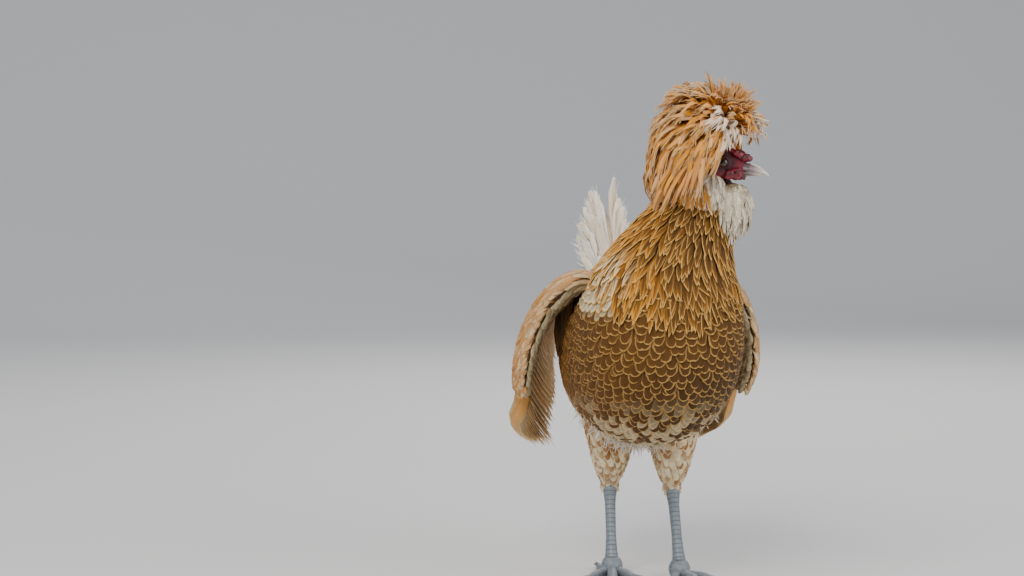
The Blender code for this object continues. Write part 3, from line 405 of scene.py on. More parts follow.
class Coat:
    """All the feathers of one piece. They share one shape, and become one mesh."""

    def __init__(self, name, shape, seed):
        self.name, self.shape = name, shape
        self.rng = np.random.default_rng(seed)
        self.points, self.dyes, self.tones, self.bakes = [], [], [], []

    def add(self, spine, face, half_width, dye, bake, thickness=0.0004, camber=0.25, fray=0.08, tip_dye=None):
        """spine and face are feathers x stations x 3. dye is a colour for each feather and bake its root's place."""
        count, rows = spine.shape[:2]
        widths = np.array((*SHAPES[self.shape][1], 0.0))
        ahead = unit(np.gradient(spine, axis=1))
        side = unit(np.cross(ahead, face))
        over = np.cross(side, ahead)
        half = np.broadcast_to(np.asarray(half_width, float), (count,))[:, None] * widths[None, :]
        body = []
        for u, layer in SECTION:
            jitter = 1 + (0 if layer else fray) * self.rng.uniform(-1, 1, (count, rows))
            across = side * (half * u * jitter)[..., None]
            lift = -camber * half * u * u + layer * thickness / 2 + (SHAFT_RIDGE if u == 0 and layer > 0 else 0)
            body.append(spine + across + over * lift[..., None])
        rings = np.stack(body, axis=2)[:, :-1]
        tips = spine[:, -1:, None, :].repeat(1, axis=2)
        points = np.concatenate([rings.reshape(count, -1, 3), tips.reshape(count, 1, 3)], axis=1)
        self.points.append(points)
        dye = np.broadcast_to(np.asarray(dye, float), (count, 3))
        tip_dye = dye if tip_dye is None else np.broadcast_to(np.asarray(tip_dye, float), (count, 3))
        share = self.vertex_uv()[:, 1][None, :, None] ** 2
        self.dyes.append(dye[:, None, :] * (1 - share) + tip_dye[:, None, :] * share)
        self.tones.append(np.repeat(self.rng.uniform(0, 1, (count, 1)), points.shape[1], axis=1))
        self.bakes.append(np.asarray(bake, float)[:, None, :] * 0.996 + self.vertex_uv()[None] * BAKE_PATCH)

    def vertex_uv(self):
        """Across and along the vane, from 0 to 1, for each vertex of one feather."""
        rows = SHAPES[self.shape][0]
        uv = [((u + 1) / 2, t) for t in rows for u, _ in SECTION]
        return np.array([*uv, (0.5, 1.0)])

    def faces(self):
        ring, rows = len(SECTION), len(SHAPES[self.shape][0])
        found = [tuple(reversed(range(ring)))]
        for r in range(rows - 1):
            for k in range(ring):
                n = (k + 1) % ring
                found.append((r * ring + k, r * ring + n, (r + 1) * ring + n, (r + 1) * ring + k))
        last = (rows - 1) * ring
        found += [(last + k, last + (k + 1) % ring, rows * ring) for k in range(ring)]
        return found

    def make(self, material, slot, *nodes):
        points = np.concatenate(self.points)
        count, each = points.shape[:2]
        faces = self.faces()
        sizes = np.array([len(f) for f in faces])
        flat = np.array([v for f in faces for v in f])
        corners = (flat[None, :] + np.arange(count)[:, None] * each).ravel()
        totals = np.tile(sizes, count)
        mesh = bpy.data.meshes.new(self.name)
        mesh.vertices.add(count * each)
        mesh.vertices.foreach_set("co", (points + SHIFT).reshape(-1).astype(np.float32))
        mesh.loops.add(len(corners))
        mesh.loops.foreach_set("vertex_index", corners.astype(np.int32))
        mesh.polygons.add(len(totals))
        mesh.polygons.foreach_set("loop_start", np.concatenate([[0], np.cumsum(totals)[:-1]]).astype(np.int32))
        mesh.update(calc_edges=True)
        mesh.shade_smooth()
        vane_uv = np.tile(self.vertex_uv()[flat], (count, 1))
        bake_uv = np.concatenate(self.bakes).reshape(-1, 2)[corners]
        for name, values in (("OFBake", bake_uv), ("Vane", vane_uv)):
            layer = mesh.uv_layers.new(name=name)
            layer.data.foreach_set("uv", values.astype(np.float32).ravel())
        dyes = np.concatenate(self.dyes).reshape(-1, 3)
        colours = mesh.attributes.new("dye", "FLOAT_COLOR", "POINT")
        colours.data.foreach_set("color", np.c_[dyes, np.ones(len(dyes))].astype(np.float32).ravel())
        tone = mesh.attributes.new("tone", "FLOAT", "POINT")
        tone.data.foreach_set("value", np.concatenate(self.tones).ravel().astype(np.float32))
        mesh.materials.append(material)
        made = bpy.data.objects.new(self.name, mesh)
        bpy.context.scene.collection.objects.link(made)
        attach(made, "root")
        if nodes:
            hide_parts(*nodes)
        mesh.calc_loop_triangles()
        print(self.name, count, "feathers,", len(mesh.loop_triangles), "triangles")
        return made


# %% [markdown]
# Colours by name, as they look on this hen: golden buff that is richer on the back of the neck and brown on the
# breast, every feather edged with cream, and cream where the plumage is loose.

# %% Dyes
GOLD = srgb(236, 158, 44)
ORANGE = srgb(216, 132, 24)
AMBER = srgb(184, 112, 16)
BROWN = srgb(94, 58, 10)
OLIVE = srgb(66, 44, 12)
CREAM = srgb(246, 224, 176)
WHITE = srgb(252, 246, 232)
BUFF = srgb(222, 162, 84)
PINK_BUFF = srgb(208, 138, 66)
# Grey of downy feathers, used too as painted shade on the beard, the muffs and the wings
GREY_DOWN_AND_SHADE = srgb(146, 128, 96)
PALE = srgb(248, 232, 202)



def frayed(coat, spine, face, half_width, dye, bake, each, reach):
    """Hair-thin barbs that go on past the ends of loose feathers, a few for each."""
    rng = coat.rng
    t = stations(coat.shape)[None, :, None]
    ahead = unit(spine[:, -1] - spine[:, -3])
    side = unit(np.cross(ahead, face[:, -1]))
    for _ in range(each):
        across = side * (np.asarray(half_width) * rng.uniform(-0.9, 0.9, len(spine)))[:, None]
        start = spine[:, -4] + across * 0.8
        end = spine[:, -1] + across * rng.uniform(0.8, 1.9, (len(spine), 1))
        end = end + ahead * reach * rng.uniform(-0.6, 1.0, (len(spine), 1)) + rng.normal(0, reach * 0.22, (len(spine), 3))
        middle = spine[:, -2] + across * 1.1
        line = start[:, None] * (1 - t) ** 2 + middle[:, None] * 2 * t * (1 - t) + end[:, None] * t * t
        up = np.broadcast_to(face[:, -1:], line.shape)
        coat.add(line, up, rng.uniform(0.00035, 0.0007, len(spine)), dye, bake, thickness=0.0002, camber=0.0, fray=0.0)


# %% [markdown]
# The finish of a feather has four parts: its dye, a pale lace along its rim, the fine slanting lines of its barbs,
# and the shaft. The vane's own map says how far a point is from the rim, so the lace follows every outline.

# %% Feather finish


def feather_paint(name, shape, lace_colour, lace=0.12, aspect=3.5, lace_strength=1.0, barbs_and_shade_wisps=26, mottle=0.22,
                  streak_dark=0.0, strands=0.0):
    """aspect is the length over the half width. lace is the rim's width over the half width."""
    paint = Paint(name, Roughness=0.66, Sheen_Weight=0.02, Sheen_Roughness=0.4)
    paint.shader.inputs["Specular IOR Level"].default_value = 0.22
    across, along = paint.uv("Vane")
    reach = (across * 2.0 - 1.0).math("ABSOLUTE")
    width = paint.curve(along, list(zip(*SHAPES[shape])) + [(1.0, 0.0)])
    side_gap = (1.0 - reach) * width
    tip_gap = (1.0 - along) * aspect
    uneven = paint.noise(420.0, 1.0) * 0.10 - 0.05
    gap = side_gap.math("MINIMUM", tip_gap) + uneven
    rim = gap.above(lace * 1.35, lace * 0.65) * along.above(0.15, 0.5)
    tone = paint.attribute("tone")
    dye = paint.attribute("dye", "Color")
    slant = along * (aspect * barbs_and_shade_wisps * 0.5) + reach * (barbs_and_shade_wisps * -0.45)
    streak = paint.noise(1.0, 2.0, paint.vector(slant * 0.55, tone * 37.0, 0.0))
    line = (slant * 6.2832).math("SINE") * 0.5 + 0.5
    shaft = reach.above(0.16, 0.05)
    blotch = paint.noise(70.0, 3.0)
    strand = paint.noise(1.0, 2.0, paint.vector(across * 7.0, along * 1.6 + tone * 91.0, tone * 13.0))
    shade = 0.78 + tone * 0.26 + (streak - 0.5) * mottle + (blotch - 0.5) * 0.30 + line * 0.05 + shaft * 0.06
    shade = shade + (strand - 0.5) * strands
    grey = paint.vector(shade, shade, shade)
    ground = paint.mix(1.0, dye, grey, "MULTIPLY")
    if streak_dark:
        ground = paint.mix(gap.above(0.30, 0.75) * streak_dark, ground, OLIVE)
    laced = paint.mix(rim * lace_strength, ground, lace_colour)
    paint.colour(laced)
    paint.bump(line * 0.35 + streak * 0.5 + shaft * 0.8 + strand * strands * 2.0, 0.00025, 0.6)
    return paint.material


# %% Colours over the trunk


def blend(first, second, share):
    share = np.asarray(share, float)[..., None]
    return np.asarray(first) * (1 - share) + np.asarray(second) * share


SHOULDER_X, SHOULDER_Z = -0.055, 0.270


def shoulder_patch(points):
    """How white the plumage is next to the right shoulder."""
    away = np.hypot(points[..., 0] - SHOULDER_X, points[..., 2] - SHOULDER_Z)
    return smooth_step(0.022, 0.012, away) * smooth_step(0.05, 0.02, points[..., 1]) * 0.85


def body_dye(place, angle):
    """The ground colour of the trunk: gold above, brown on the breast, cream at the vent, and olive brown low on the
    breast as painted shade, most on the bird's left, away from the key lamp.
    """
    points = body_points(place, angle)
    x, y, z = np.moveaxis(points, -1, 0)
    front = smooth_step(0.03, -0.06, y)
    colour = blend(AMBER, BROWN, front * 0.95)
    # Painted shade: olive brown low on the breast, most on the bird's left, away from the key lamp.
    colour = blend(colour, OLIVE, front * smooth_step(0.25, 0.18, z) * smooth_step(-0.06, 0.02, x) * 0.8)
    colour = blend(colour, CREAM, shoulder_patch(points))
    colour = blend(colour, CREAM, smooth_step(0.134, 0.116, z) * 0.75)
    return blend(colour, CREAM, smooth_step(3.0, 0.8, place) * 0.7)


# %% [markdown]
# The trunk's feathers lie in rows, like tiles. Each row is the line at one distance from the neck, measured along
# the lie, and neighbouring rows are set half a step apart. Rows counted from the neck run out at the rump by
# themselves, because the belly is longer than the back.

# %% Rows of feathers on the trunk


def rows_on_body(first, last, row_pitch, pitch, rng, jitter=0.16):
    """Roots as place and angle, in staggered rows from one place down to another."""
    angles = np.linspace(0, 2 * math.pi, 145)
    places = np.linspace(first, last, 260)
    grid = body_points(places[None, :], angles[:, None])
    run = np.concatenate([np.zeros((len(angles), 1)), np.cumsum(np.linalg.norm(np.diff(grid, axis=1), axis=2), axis=1)], axis=1)
    found = []
    for row in range(int(run.max() / row_pitch)):
        level_places = np.array([np.interp(row * row_pitch, r, places, right=np.nan) for r in run])
        whole = ~np.isnan(level_places)
        if whole.sum() < 3:
            continue
        line = body_points(np.where(whole, level_places, last), angles)
        step = np.linalg.norm(np.diff(line, axis=0), axis=1) * (whole[1:] & whole[:-1])
        length = np.concatenate([[0], np.cumsum(step)])
        count = max(1, int(length[-1] / pitch))
        at = (np.arange(count) + 0.5 * (row % 2) + rng.uniform(-jitter, jitter, count)) * length[-1] / count
        angle = np.interp(at, length, angles)
        place = np.interp(angle, angles, np.where(whole, level_places, last))
        place = place + rng.uniform(-jitter, jitter, count) * 0.06
        found.append(np.stack([np.clip(place, last, first), angle], axis=1))
    return np.concatenate(found)


def lying(roots, length, shape, lifts, rng, swing=0.10):
    """Spines of feathers that lie on the trunk from their roots towards the rump. lifts are heights, root to tip."""
    t = stations(shape)
    place, angle = roots[:, 0].copy(), roots[:, 1].copy()
    sway = rng.normal(0, swing, len(roots))
    length = np.broadcast_to(np.asarray(length, float), (len(roots),))
    lifts = np.asarray(lifts, float) + rng.uniform(-0.0003, 0.0003, (len(roots), 1)) * np.linspace(0, 1, 3)
    spine, face = [], []
    for k, share in enumerate(t):
        if k:
            step = length * (share - t[k - 1])
            along = np.linalg.norm(body_points(place - 0.02, angle) - body_points(place + 0.02, angle), axis=1) / 0.04
            around = np.linalg.norm(body_points(place, angle + 0.02) - body_points(place, angle - 0.02), axis=1) / 0.04
            place = place - step * np.cos(sway) / np.maximum(along, 0.004)
            angle = angle + step * np.sin(sway) / np.maximum(around, 0.004)
        held = np.clip(place, 0.02, NECK_TOP)
        past = np.maximum(0.02 - place, 0)[:, None]
        normal = body_normals(held, angle)
        lift = np.array([np.interp(share, (0, 0.45, 1), row) for row in lifts])
        spine.append(body_points(held, angle) + normal * lift[:, None] + past * np.array((0, 0.02, 0.004)))
        face.append(normal)
    return np.stack(spine, axis=1), np.stack(face, axis=1)


def bake_of(roots):
    return np.stack([(roots[:, 1] / (2 * math.pi)) % 1.0, roots[:, 0] / NECK_TOP], axis=1)


trunk_rng = np.random.default_rng(21)
trunk_roots = rows_on_body(9.7, 0.25, 0.0062, 0.0086, trunk_rng)
front_half = np.cos(trunk_roots[:, 1]) < 0.25
SCALE_LACE = srgb(210, 162, 88)
scale_paint = feather_paint("laced_scale", "scale", SCALE_LACE, lace=0.23, aspect=4.0, streak_dark=0.45, strands=0.3)
for label, chosen in (("breast", front_half), ("back", ~front_half)):
    roots = trunk_roots[chosen]
    coat = Coat(f"coat_{label}", "scale", 31)
    spine, face = lying(roots, 0.0215, "scale", (-0.0022, -0.0004, 0.0019), trunk_rng)
    face = face + trunk_rng.normal(0, 0.07, (len(roots), 1, 3))
    sizes = 0.0058 * trunk_rng.uniform(0.9, 1.1, len(roots))
    spots = shoulder_patch(spine[:, 3]) * (trunk_rng.uniform(0, 1, len(roots)) < 0.55)
    dyes = blend(body_dye(roots[:, 0], roots[:, 1]), AMBER, spots)
    pale = smooth_step(0.172, 0.130, spine[:, 3, 2]) * (trunk_rng.uniform(0, 1, len(roots)) < 0.5)
    dyes = blend(dyes, CREAM, pale * 0.75)
    coat.add(spine, face, sizes, dyes, bake_of(roots), fray=0.14)
    coat.make(scale_paint, "buff_plumage")

# %% [markdown]
# The hackles are the long pointed feathers of the neck. They are short behind the head and grow longer down the neck,
# so that every row shows its laced tips. Each has a dark streak along its shaft.

# %% Hackles
hackle_rng = np.random.default_rng(22)
hackle_roots = rows_on_body(11.98, 9.2, 0.0056, 0.0050, hackle_rng, 0.30)
hackle_paint = feather_paint(
    "hackle_feather", "lance", srgb(240, 188, 104), lace=0.20, aspect=9.0, lace_strength=0.85, mottle=0.45, streak_dark=0.75,
    strands=0.5,
)
x = body_points(hackle_roots[:, 0], hackle_roots[:, 1])[:, 0]
behind = 0.5 + 0.5 * np.cos(hackle_roots[:, 1])
side_gold = np.clip(behind * 1.1 + smooth_step(0.025, -0.035, x) * 0.7, 0, 1)
rich = blend(BROWN, AMBER, np.clip(side_gold + hackle_rng.normal(0, 0.18, len(x)), 0, 1))
rich = blend(rich, GOLD, side_gold * hackle_rng.uniform(0.1, 0.7, len(x)))
rich = blend(rich, BROWN, (hackle_rng.uniform(0, 1, len(x)) < 0.75 - 0.5 * side_gold) * 0.8)
coat = Coat("coat_hackle", "lance", 32)
down = 12.0 - hackle_roots[:, 0]
long = np.interp(down, (0, 0.8, 1.8, 2.8), (0.016, 0.026, 0.035, 0.038)) + 0.012 * behind
long = long * hackle_rng.uniform(0.80, 1.12, len(x))
spine, face = lying(hackle_roots, long, "lance", (-0.0026, 0.0008, 0.0032), hackle_rng, 0.16)
face = face + hackle_rng.normal(0, 0.20, (len(x), 1, 3))
rich = blend(rich, CREAM, shoulder_patch(spine[:, 4]) * (hackle_rng.uniform(0, 1, len(x)) < 0.75))
sizes = np.interp(down, (0, 1.2, 2.8), (0.0024, 0.0031, 0.0036)) * hackle_rng.uniform(0.8, 1.2, len(x))
coat.add(spine, face, sizes, rich, bake_of(hackle_roots), fray=0.16, tip_dye=blend(rich, GOLD, 0.15))
coat.make(hackle_paint, "buff_plumage")

# %% [markdown]
# The crest is a mop of feathers that root close together on the crown. They part just over the brow and sweep from
# there up and back over the head, so all of them turn about one pole that leans forward. A feather is a smooth curve
# with three handles: its root, its bend and its tip. Those over the brow are short. The last ones hang down the nape.

# %% The crest's feathers
CREST_CENTRE = np.array((0.0015, 0.0, 0.0200))
CREST_CORE = np.array((0.0230, 0.0210, 0.0190))
CREST_DOME = np.array((1.0, 0.86, 1.0))
POLE_LEAN = math.radians(34)
POLE = np.array((math.sin(POLE_LEAN), 0.0, math.cos(POLE_LEAN)))
BROW = np.array((math.cos(POLE_LEAN), 0.0, -math.sin(POLE_LEAN)))


def crest_way(tilt, turn):
    """Directions in the head's frame, by the angle off the pole and the turn round it from the brow."""
    across = np.sin(tilt)[..., None]
    level_way = np.cos(turn)[..., None] * BROW + np.sin(turn)[..., None] * (0.0, 1.0, 0.0)
    return np.cos(tilt)[..., None] * POLE + across * level_way


def bezier(start, bend, end, t):
    """Points of many quadratic curves at the same shares t."""
    t = t[None, :, None]
    return start[:, None] * (1 - t) ** 2 + bend[:, None] * 2 * t * (1 - t) + end[:, None] * t * t


# root and tip angles off the pole in degrees, how many, half width, open half angle over the face
CREST_ROWS = [
    (2, 14, 18, 0.0024, 0),
    (7, 25, 28, 0.0025, 0),
    (12, 36, 38, 0.0026, 0),
    (17, 46, 46, 0.0027, 0),
    (23, 56, 52, 0.0028, 0),
    (29, 66, 56, 0.0028, 32),
    (35, 76, 58, 0.0028, 48),
    (42, 86, 58, 0.0028, 57),
    (49, 96, 58, 0.0028, 58),
    (56, 107, 58, 0.0027, 60),
    (63, 118, 58, 0.0027, 63),
    (70, 129, 58, 0.0026, 67),
    (77, 141, 56, 0.0026, 71),
    (85, 153, 54, 0.0025, 76),
    (93, 165, 50, 0.0025, 82),
    (101, 176, 42, 0.0025, 94),
]
# How far the tips lie from the crest's middle, by their angle off upright in degrees
CREST_FALL = (0, 60, 90, 106, 120, 134, 149, 165)
CREST_REACH = (0.0450, 0.0465, 0.0485, 0.0510, 0.0550, 0.0630, 0.0760, 0.0860)
CREST_CLUMPS = 34
crest_rng = np.random.default_rng(23)
crest_paint = feather_paint(
    "crest_feather", "lance", srgb(252, 226, 170), lace=0.10, aspect=12.0, mottle=0.6, lace_strength=0.2, strands=1.1
)
fringe_paint = feather_paint("crest_barbs", "wisp", CREAM, lace=0.0, aspect=12.0, mottle=0.3)

# A clump is a direction from the crest's middle. The feathers next to it lean together, and many share its dye.
clump_ways = unit(crest_rng.normal(0, 1, (CREST_CLUMPS, 3)) + (0, 0, 0.5))
clump_lean = crest_rng.normal(0, 1, (CREST_CLUMPS, 3))
clump_white = crest_rng.uniform(0, 1, CREST_CLUMPS) < 0.12 + 0.50 * smooth_step(0.35, 0.9, clump_ways[:, 0])

plumes = Coat("crest_plumes", "lance", 33)
fringe = Coat("crest_fringe", "wisp", 37)
t = stations("lance")
for number, (root, tip, count, half, opening) in enumerate(CREST_ROWS):
    gap = math.radians(opening)
    step = np.arange(count) + 0.5 * (number % 2) + crest_rng.uniform(-0.35, 0.35, count)
    turn = gap + (2 * math.pi - 2 * gap) * (step + 0.25) / count
    root_tilt = math.radians(root) + crest_rng.normal(0, 0.05, count)
    tip_tilt = np.full(count, math.radians(tip))
    clump = np.argmax(crest_way(tip_tilt, turn) @ clump_ways.T, axis=1)
    lean = clump_lean[clump]
    tip_tilt = tip_tilt - 0.11 * np.abs(lean[:, 0]) + crest_rng.normal(0, 0.06, count)
    tip_turn = turn + 0.14 * lean[:, 2] + crest_rng.normal(0, 0.07, count)
    fall = np.degrees(np.arccos(crest_way(tip_tilt, tip_turn)[:, 2]))
    reach = np.interp(fall, CREST_FALL, CREST_REACH)
    far = reach * (1 + 0.04 * lean[:, 1] + 0.05 * np.abs(lean[:, 0])) * crest_rng.uniform(0.88, 1.03, count)
    loose = np.clip(lean[:, 1] - 0.9, 0, 1) * (fall < 95)
    far = far * np.where(crest_rng.uniform(0, 1, count) < 0.05, 1.12, 1.0 + 0.16 * loose)
    bend_tilt = root_tilt * 0.42 + tip_tilt * 0.58
    start = at_head(*(CREST_CENTRE + crest_way(root_tilt, turn) * CREST_CORE * 0.75).T)
    bend = at_head(*(CREST_CENTRE + crest_way(bend_tilt, turn) * CREST_DOME * (far * np.interp(tip, (14, 60), (0.70, 1.04)))[:, None]).T)
    end = at_head(*(CREST_CENTRE + crest_way(tip_tilt, tip_turn) * CREST_DOME * far[:, None]).T)
    spine = bezier(start, bend, end, t)
    wave = crest_rng.normal(0, 0.0016, (count, 1, 3)) * (np.sin(math.pi * 1.4 * t) * t)[None, :, None]
    spine = spine + wave - Z * 0.003 * (number > 3) * (t * t)[None, :, None]
    face = unit(spine - at_head(*CREST_CENTRE)) + crest_rng.normal(0, 0.16, (count, 1, 3))
    dye = blend(GOLD, ORANGE, crest_rng.uniform(0.1, 1.0, count)) * crest_rng.uniform(0.80, 1.15, (count, 1))
    white = np.clip(clump_white[clump] * 0.68 + crest_rng.normal(0.0, 0.10, count), 0, 0.9)
    dye = blend(dye, WHITE, white)
    tip_dye = blend(dye, CREAM, crest_rng.uniform(0.0, 0.6, count) ** 2 * 1.3)
    bake = np.stack([(turn / (2 * math.pi)) % 1.0, np.full(count, (number + 0.5) / len(CREST_ROWS))], axis=1)
    sizes = half * crest_rng.uniform(0.75, 1.2, count)
    plumes.add(spine, face, sizes, dye, bake, fray=0.30, camber=0.14, thickness=0.00025, tip_dye=tip_dye)
    frayed(fringe, spine, face, sizes, blend(tip_dye, CREAM, 0.4), bake, 3, 0.0042)
plumes.make(crest_paint, "buff_plumage", "crest")
fringe.make(fringe_paint, "buff_plumage")

# %% [markdown]
# The beard hangs under the bill and the muffs stand out on both cheeks. They are loose, hair-like feathers, so each
# is a narrow blade that leaves its root outwards and then sinks. They lie in several layers.

# %% Beard and muffs
BEARD_CENTRE = np.array((0.0255, 0.0, -0.0262))
BEARD_CORE = np.array((0.0138, 0.0125, 0.0128))
MUFF_CENTRE = np.array((0.0085, 0.0125, -0.0150))
MUFF_CORE = np.array((0.0095, 0.0050, 0.0065))
# A row's angle off straight down, how many, length, and how far its feathers lean out. Those on top come last.
BEARD_ROWS = [
    (8, 16, 0.029, 0.10),
    (26, 26, 0.029, 0.20),
    (44, 34, 0.027, 0.30),
    (62, 40, 0.025, 0.38),
    (80, 42, 0.022, 0.44),
    (98, 42, 0.018, 0.50),
    (114, 36, 0.014, 0.56),
    (132, 28, 0.011, 0.62),
]
MUFF_ROWS = [
    (30, 22, 0.026, 0.22),
    (60, 30, 0.023, 0.34),
    (90, 34, 0.019, 0.44),
    (118, 34, 0.015, 0.55),
    (142, 26, 0.012, 0.70),
]
# Gold feathers between the crest and the first hackles, round the top of the neck
NAPE_CENTRE = np.array((-0.0040, 0.0, -0.0180))
NAPE_CORE = np.array((0.0230, 0.0235, 0.0100))
NAPE_ROWS = [
    (62, 34, 0.030, 0.42),
    (84, 36, 0.028, 0.46),
    (106, 36, 0.026, 0.50),
]
beard_rng = np.random.default_rng(24)
beard_paint = feather_paint(
    "beard_feather", "lance", srgb(252, 245, 230), lace=0.30, aspect=7.0, mottle=0.5, lace_strength=0.55, strands=0.9
)
beard = Coat("beard_feathers", "lance", 34)
beard_fringe = Coat("beard_fringe", "wisp", 38)


def hanging(centre, core, side, turn_low, turn_high, rows, half, dye, light=PALE, dark=GREY_DOWN_AND_SHADE):
    """Rows of soft feathers that leave a rounded core and hang down over it, the upper rows over the lower ones. dye is
    their share of the dark colour, and the grey on the beard and muffs is painted shade.
    """
    t = stations("lance")[None, :, None]
    for number, (tilt, count, length, lean) in enumerate(rows):
        step = (np.arange(count) + beard_rng.uniform(0, 1, count)) / count
        turn = side * np.radians(turn_low + (turn_high - turn_low) * step)
        leave = math.radians(tilt) + beard_rng.normal(0, 0.08, count)
        way = np.stack([np.cos(turn) * np.sin(leave), np.sin(turn) * np.sin(leave), -np.cos(leave)], axis=1)
        start = at_head(*(centre + way * core * 0.9).T)
        out = np.cos(turn)[:, None] * FORWARD + np.sin(turn)[:, None] * LEFT
        ahead = unit(out * (lean + beard_rng.normal(0, 0.07, (count, 1))) - Z)
        long = (length * beard_rng.uniform(0.75, 1.12, count))[:, None, None]
        belly = out[:, None] * 0.0016 * np.sin(math.pi * np.minimum(t * 1.3, 1.0))
        tuck = -out[:, None] * long * 0.22 * t * t
        curl = beard_rng.normal(0, 0.0013, (count, 1, 3)) * t * t
        spine = start[:, None] + ahead[:, None] * long * t + belly + tuck + curl
        face = np.broadcast_to((out + UP * 0.15)[:, None], spine.shape) + beard_rng.normal(0, 0.20, (count, 1, 3))
        shade = np.clip(dye + beard_rng.normal(0, 0.22, count), 0, 0.85)
        bake = np.stack([(turn / 7) % 1.0, np.full(count, 0.06 + number * 0.13)], axis=1)
        sizes = half * beard_rng.uniform(0.8, 1.25, count)
        colours = blend(light, dark, shade)
        beard.add(spine, face, sizes, colours, bake, fray=0.35, camber=0.2, thickness=0.00025, tip_dye=blend(colours, light, 0.6))
        frayed(beard_fringe, spine, face, sizes, blend(colours, light, 0.5), bake, 2, 0.0028)


# The beard takes more grey than the muffs: painted shade under the bill.
hanging(BEARD_CENTRE, BEARD_CORE, 1, -165, 165, BEARD_ROWS, 0.0030, 0.58)
for side in (-1, 1):
    hanging(MUFF_CENTRE * (1, side, 1), MUFF_CORE, side, -10, 150, MUFF_ROWS, 0.0028, 0.40)
for side in (-1, 1):
    hanging(NAPE_CENTRE, NAPE_CORE, side, 56, 186, NAPE_ROWS, 0.0026, 0.7, blend(GOLD, BUFF, 0.5), blend(AMBER, BROWN, 0.4))
beard.make(beard_paint, "cream_plumage", "beard")
beard_fringe.make(fringe_paint, "cream_plumage")

# %% [markdown]
# A wing is a thick arm along its front edge, with the flight feathers as one curved sheet behind it. Both are given
# by a row of stations from the shoulder to the tip of the hand, so every feather of the wing has a place along the
# arm and a distance behind its leading edge.

# %% The wings' surfaces
# side, y, z, chord, thickness along each arm
ARMS = {
    "right": np.array([
        (0.0321, -0.024, 0.246, 0.030, 0.0160),
        (0.0586, -0.020, 0.257, 0.050, 0.0180),
        (0.0822, -0.010, 0.241, 0.050, 0.0165),
        (0.0973, -0.002, 0.214, 0.044, 0.0140),
        (0.1040, 0.004, 0.186, 0.036, 0.0115),
        (0.1045, 0.010, 0.165, 0.026, 0.0085),
        (0.1020, 0.015, 0.149, 0.014, 0.0050),
    ]),
    "left": np.array([
        (0.0296, -0.024, 0.246, 0.030, 0.0160),
        (0.0539, -0.020, 0.257, 0.050, 0.0180),
        (0.0757, -0.010, 0.241, 0.050, 0.0165),
        (0.0896, -0.002, 0.214, 0.044, 0.0140),
        (0.0945, 0.005, 0.186, 0.036, 0.0115),
        (0.0925, 0.013, 0.165, 0.026, 0.0085),
        (0.0875, 0.021, 0.149, 0.014, 0.0050),
    ]),
}
CHORD_DROP = 0.18
WING_TIPS = {
    "right": np.array([
        (0.0540, 0.130, 0.221),
        (0.0550, 0.136, 0.180),
        (0.0550, 0.129, 0.142),
        (0.0660, 0.107, 0.114),
        (0.0850, 0.076, 0.109),
        (0.1020, 0.046, 0.116),
    ]),
    "left": np.array([
        (0.0505, 0.130, 0.222),
        (0.0530, 0.137, 0.184),
        (0.0560, 0.133, 0.148),
        (0.0620, 0.118, 0.116),
        (0.0690, 0.098, 0.106),
        (0.0770, 0.074, 0.112),
    ]),
}
FIRST_FLIGHT, LAST_FLIGHT = 1.15, 5.75
WING_BULGE = 0.012
ARM_STEP = 0.020


class Wing:
    """Points of one wing. place runs along the arm, and depth is a height over the sheet's outer side."""

    def __init__(self, side, label):
        self.side = side
        self.arm, self.tip_rows = ARMS[label], WING_TIPS[label]
        self.mirror = np.array((side, 1.0, 1.0))

    def frame(self, place):
        rows = spline_rows(self.arm, place)
        past = np.maximum(place - (len(self.arm) - 1), 0)[..., None] * ARM_STEP
        held = np.minimum(place, len(self.arm) - 1)
        step = spline_rows(self.arm, held + 0.1) - spline_rows(self.arm, held - 0.1)
        along = unit(step[..., :3] * self.mirror)
        back = np.array((0.0, 1.0, -CHORD_DROP))
        back = unit(back - along * (along @ back)[..., None])
        out = unit(np.cross(along, back))
        out = np.where(out[..., :1] * self.side + out[..., 2:] < 0, -out, out)
        return rows[..., :3] * self.mirror + along * past, out, back, rows[..., 3], rows[..., 4]

    def tips(self, place):
        tip_place = (place - FIRST_FLIGHT) / (LAST_FLIGHT - FIRST_FLIGHT) * (len(self.tip_rows) - 1)
        return spline_rows(self.tip_rows, tip_place) * self.mirror

    def sheet(self, place, share, depth):
        middle, out, back, chord, _ = self.frame(place)
        root = middle + back * (chord / 2)[..., None]
        bulge = WING_BULGE * np.sin(math.pi * np.clip(share, 0, 1))
        return root + (self.tips(place) - root) * share[..., None] + out * (bulge + depth)[..., None]

    def surface(self, place, reach, depth, face=1):
        """A point a distance behind the arm's leading edge, over the arm first and over the sheet behind it.

        A negative distance wraps round the edge to the other face.
        """
        middle, out, back, chord, thick = self.frame(place)
        flip = np.where(reach < 0, -1, 1)
        reach = np.abs(reach) - chord / 2
        inside = np.clip(2 * reach / chord, -1, 1)
        edge = np.sqrt(1 - inside**2)
        height = flip * thick / 2 * edge + depth * edge
        over_arm = middle + back * (np.minimum(reach, chord / 2) + np.minimum(inside, 0) * depth)[..., None]
        over_arm = over_arm + out * (face * height)[..., None]
        root = middle + back * (chord / 2)[..., None]
        length = np.linalg.norm(self.tips(place) - root, axis=-1)
        share = np.maximum(reach - chord / 2, 0) / length
        return np.where((share > 0)[..., None], self.sheet(place, share, face * depth), over_arm)

    def shingled(self, spine, place, tilt):
        """The way the upper face of each feather looks, tilted so that it lies over its neighbour."""
        out = self.frame(place)[1]
        ahead = unit(np.gradient(spine, axis=1))
        across = unit(np.cross(ahead, out))
        across = np.where(across[..., 2:] < 0, -across, across)
        return out * math.cos(tilt) - across * math.sin(tilt)


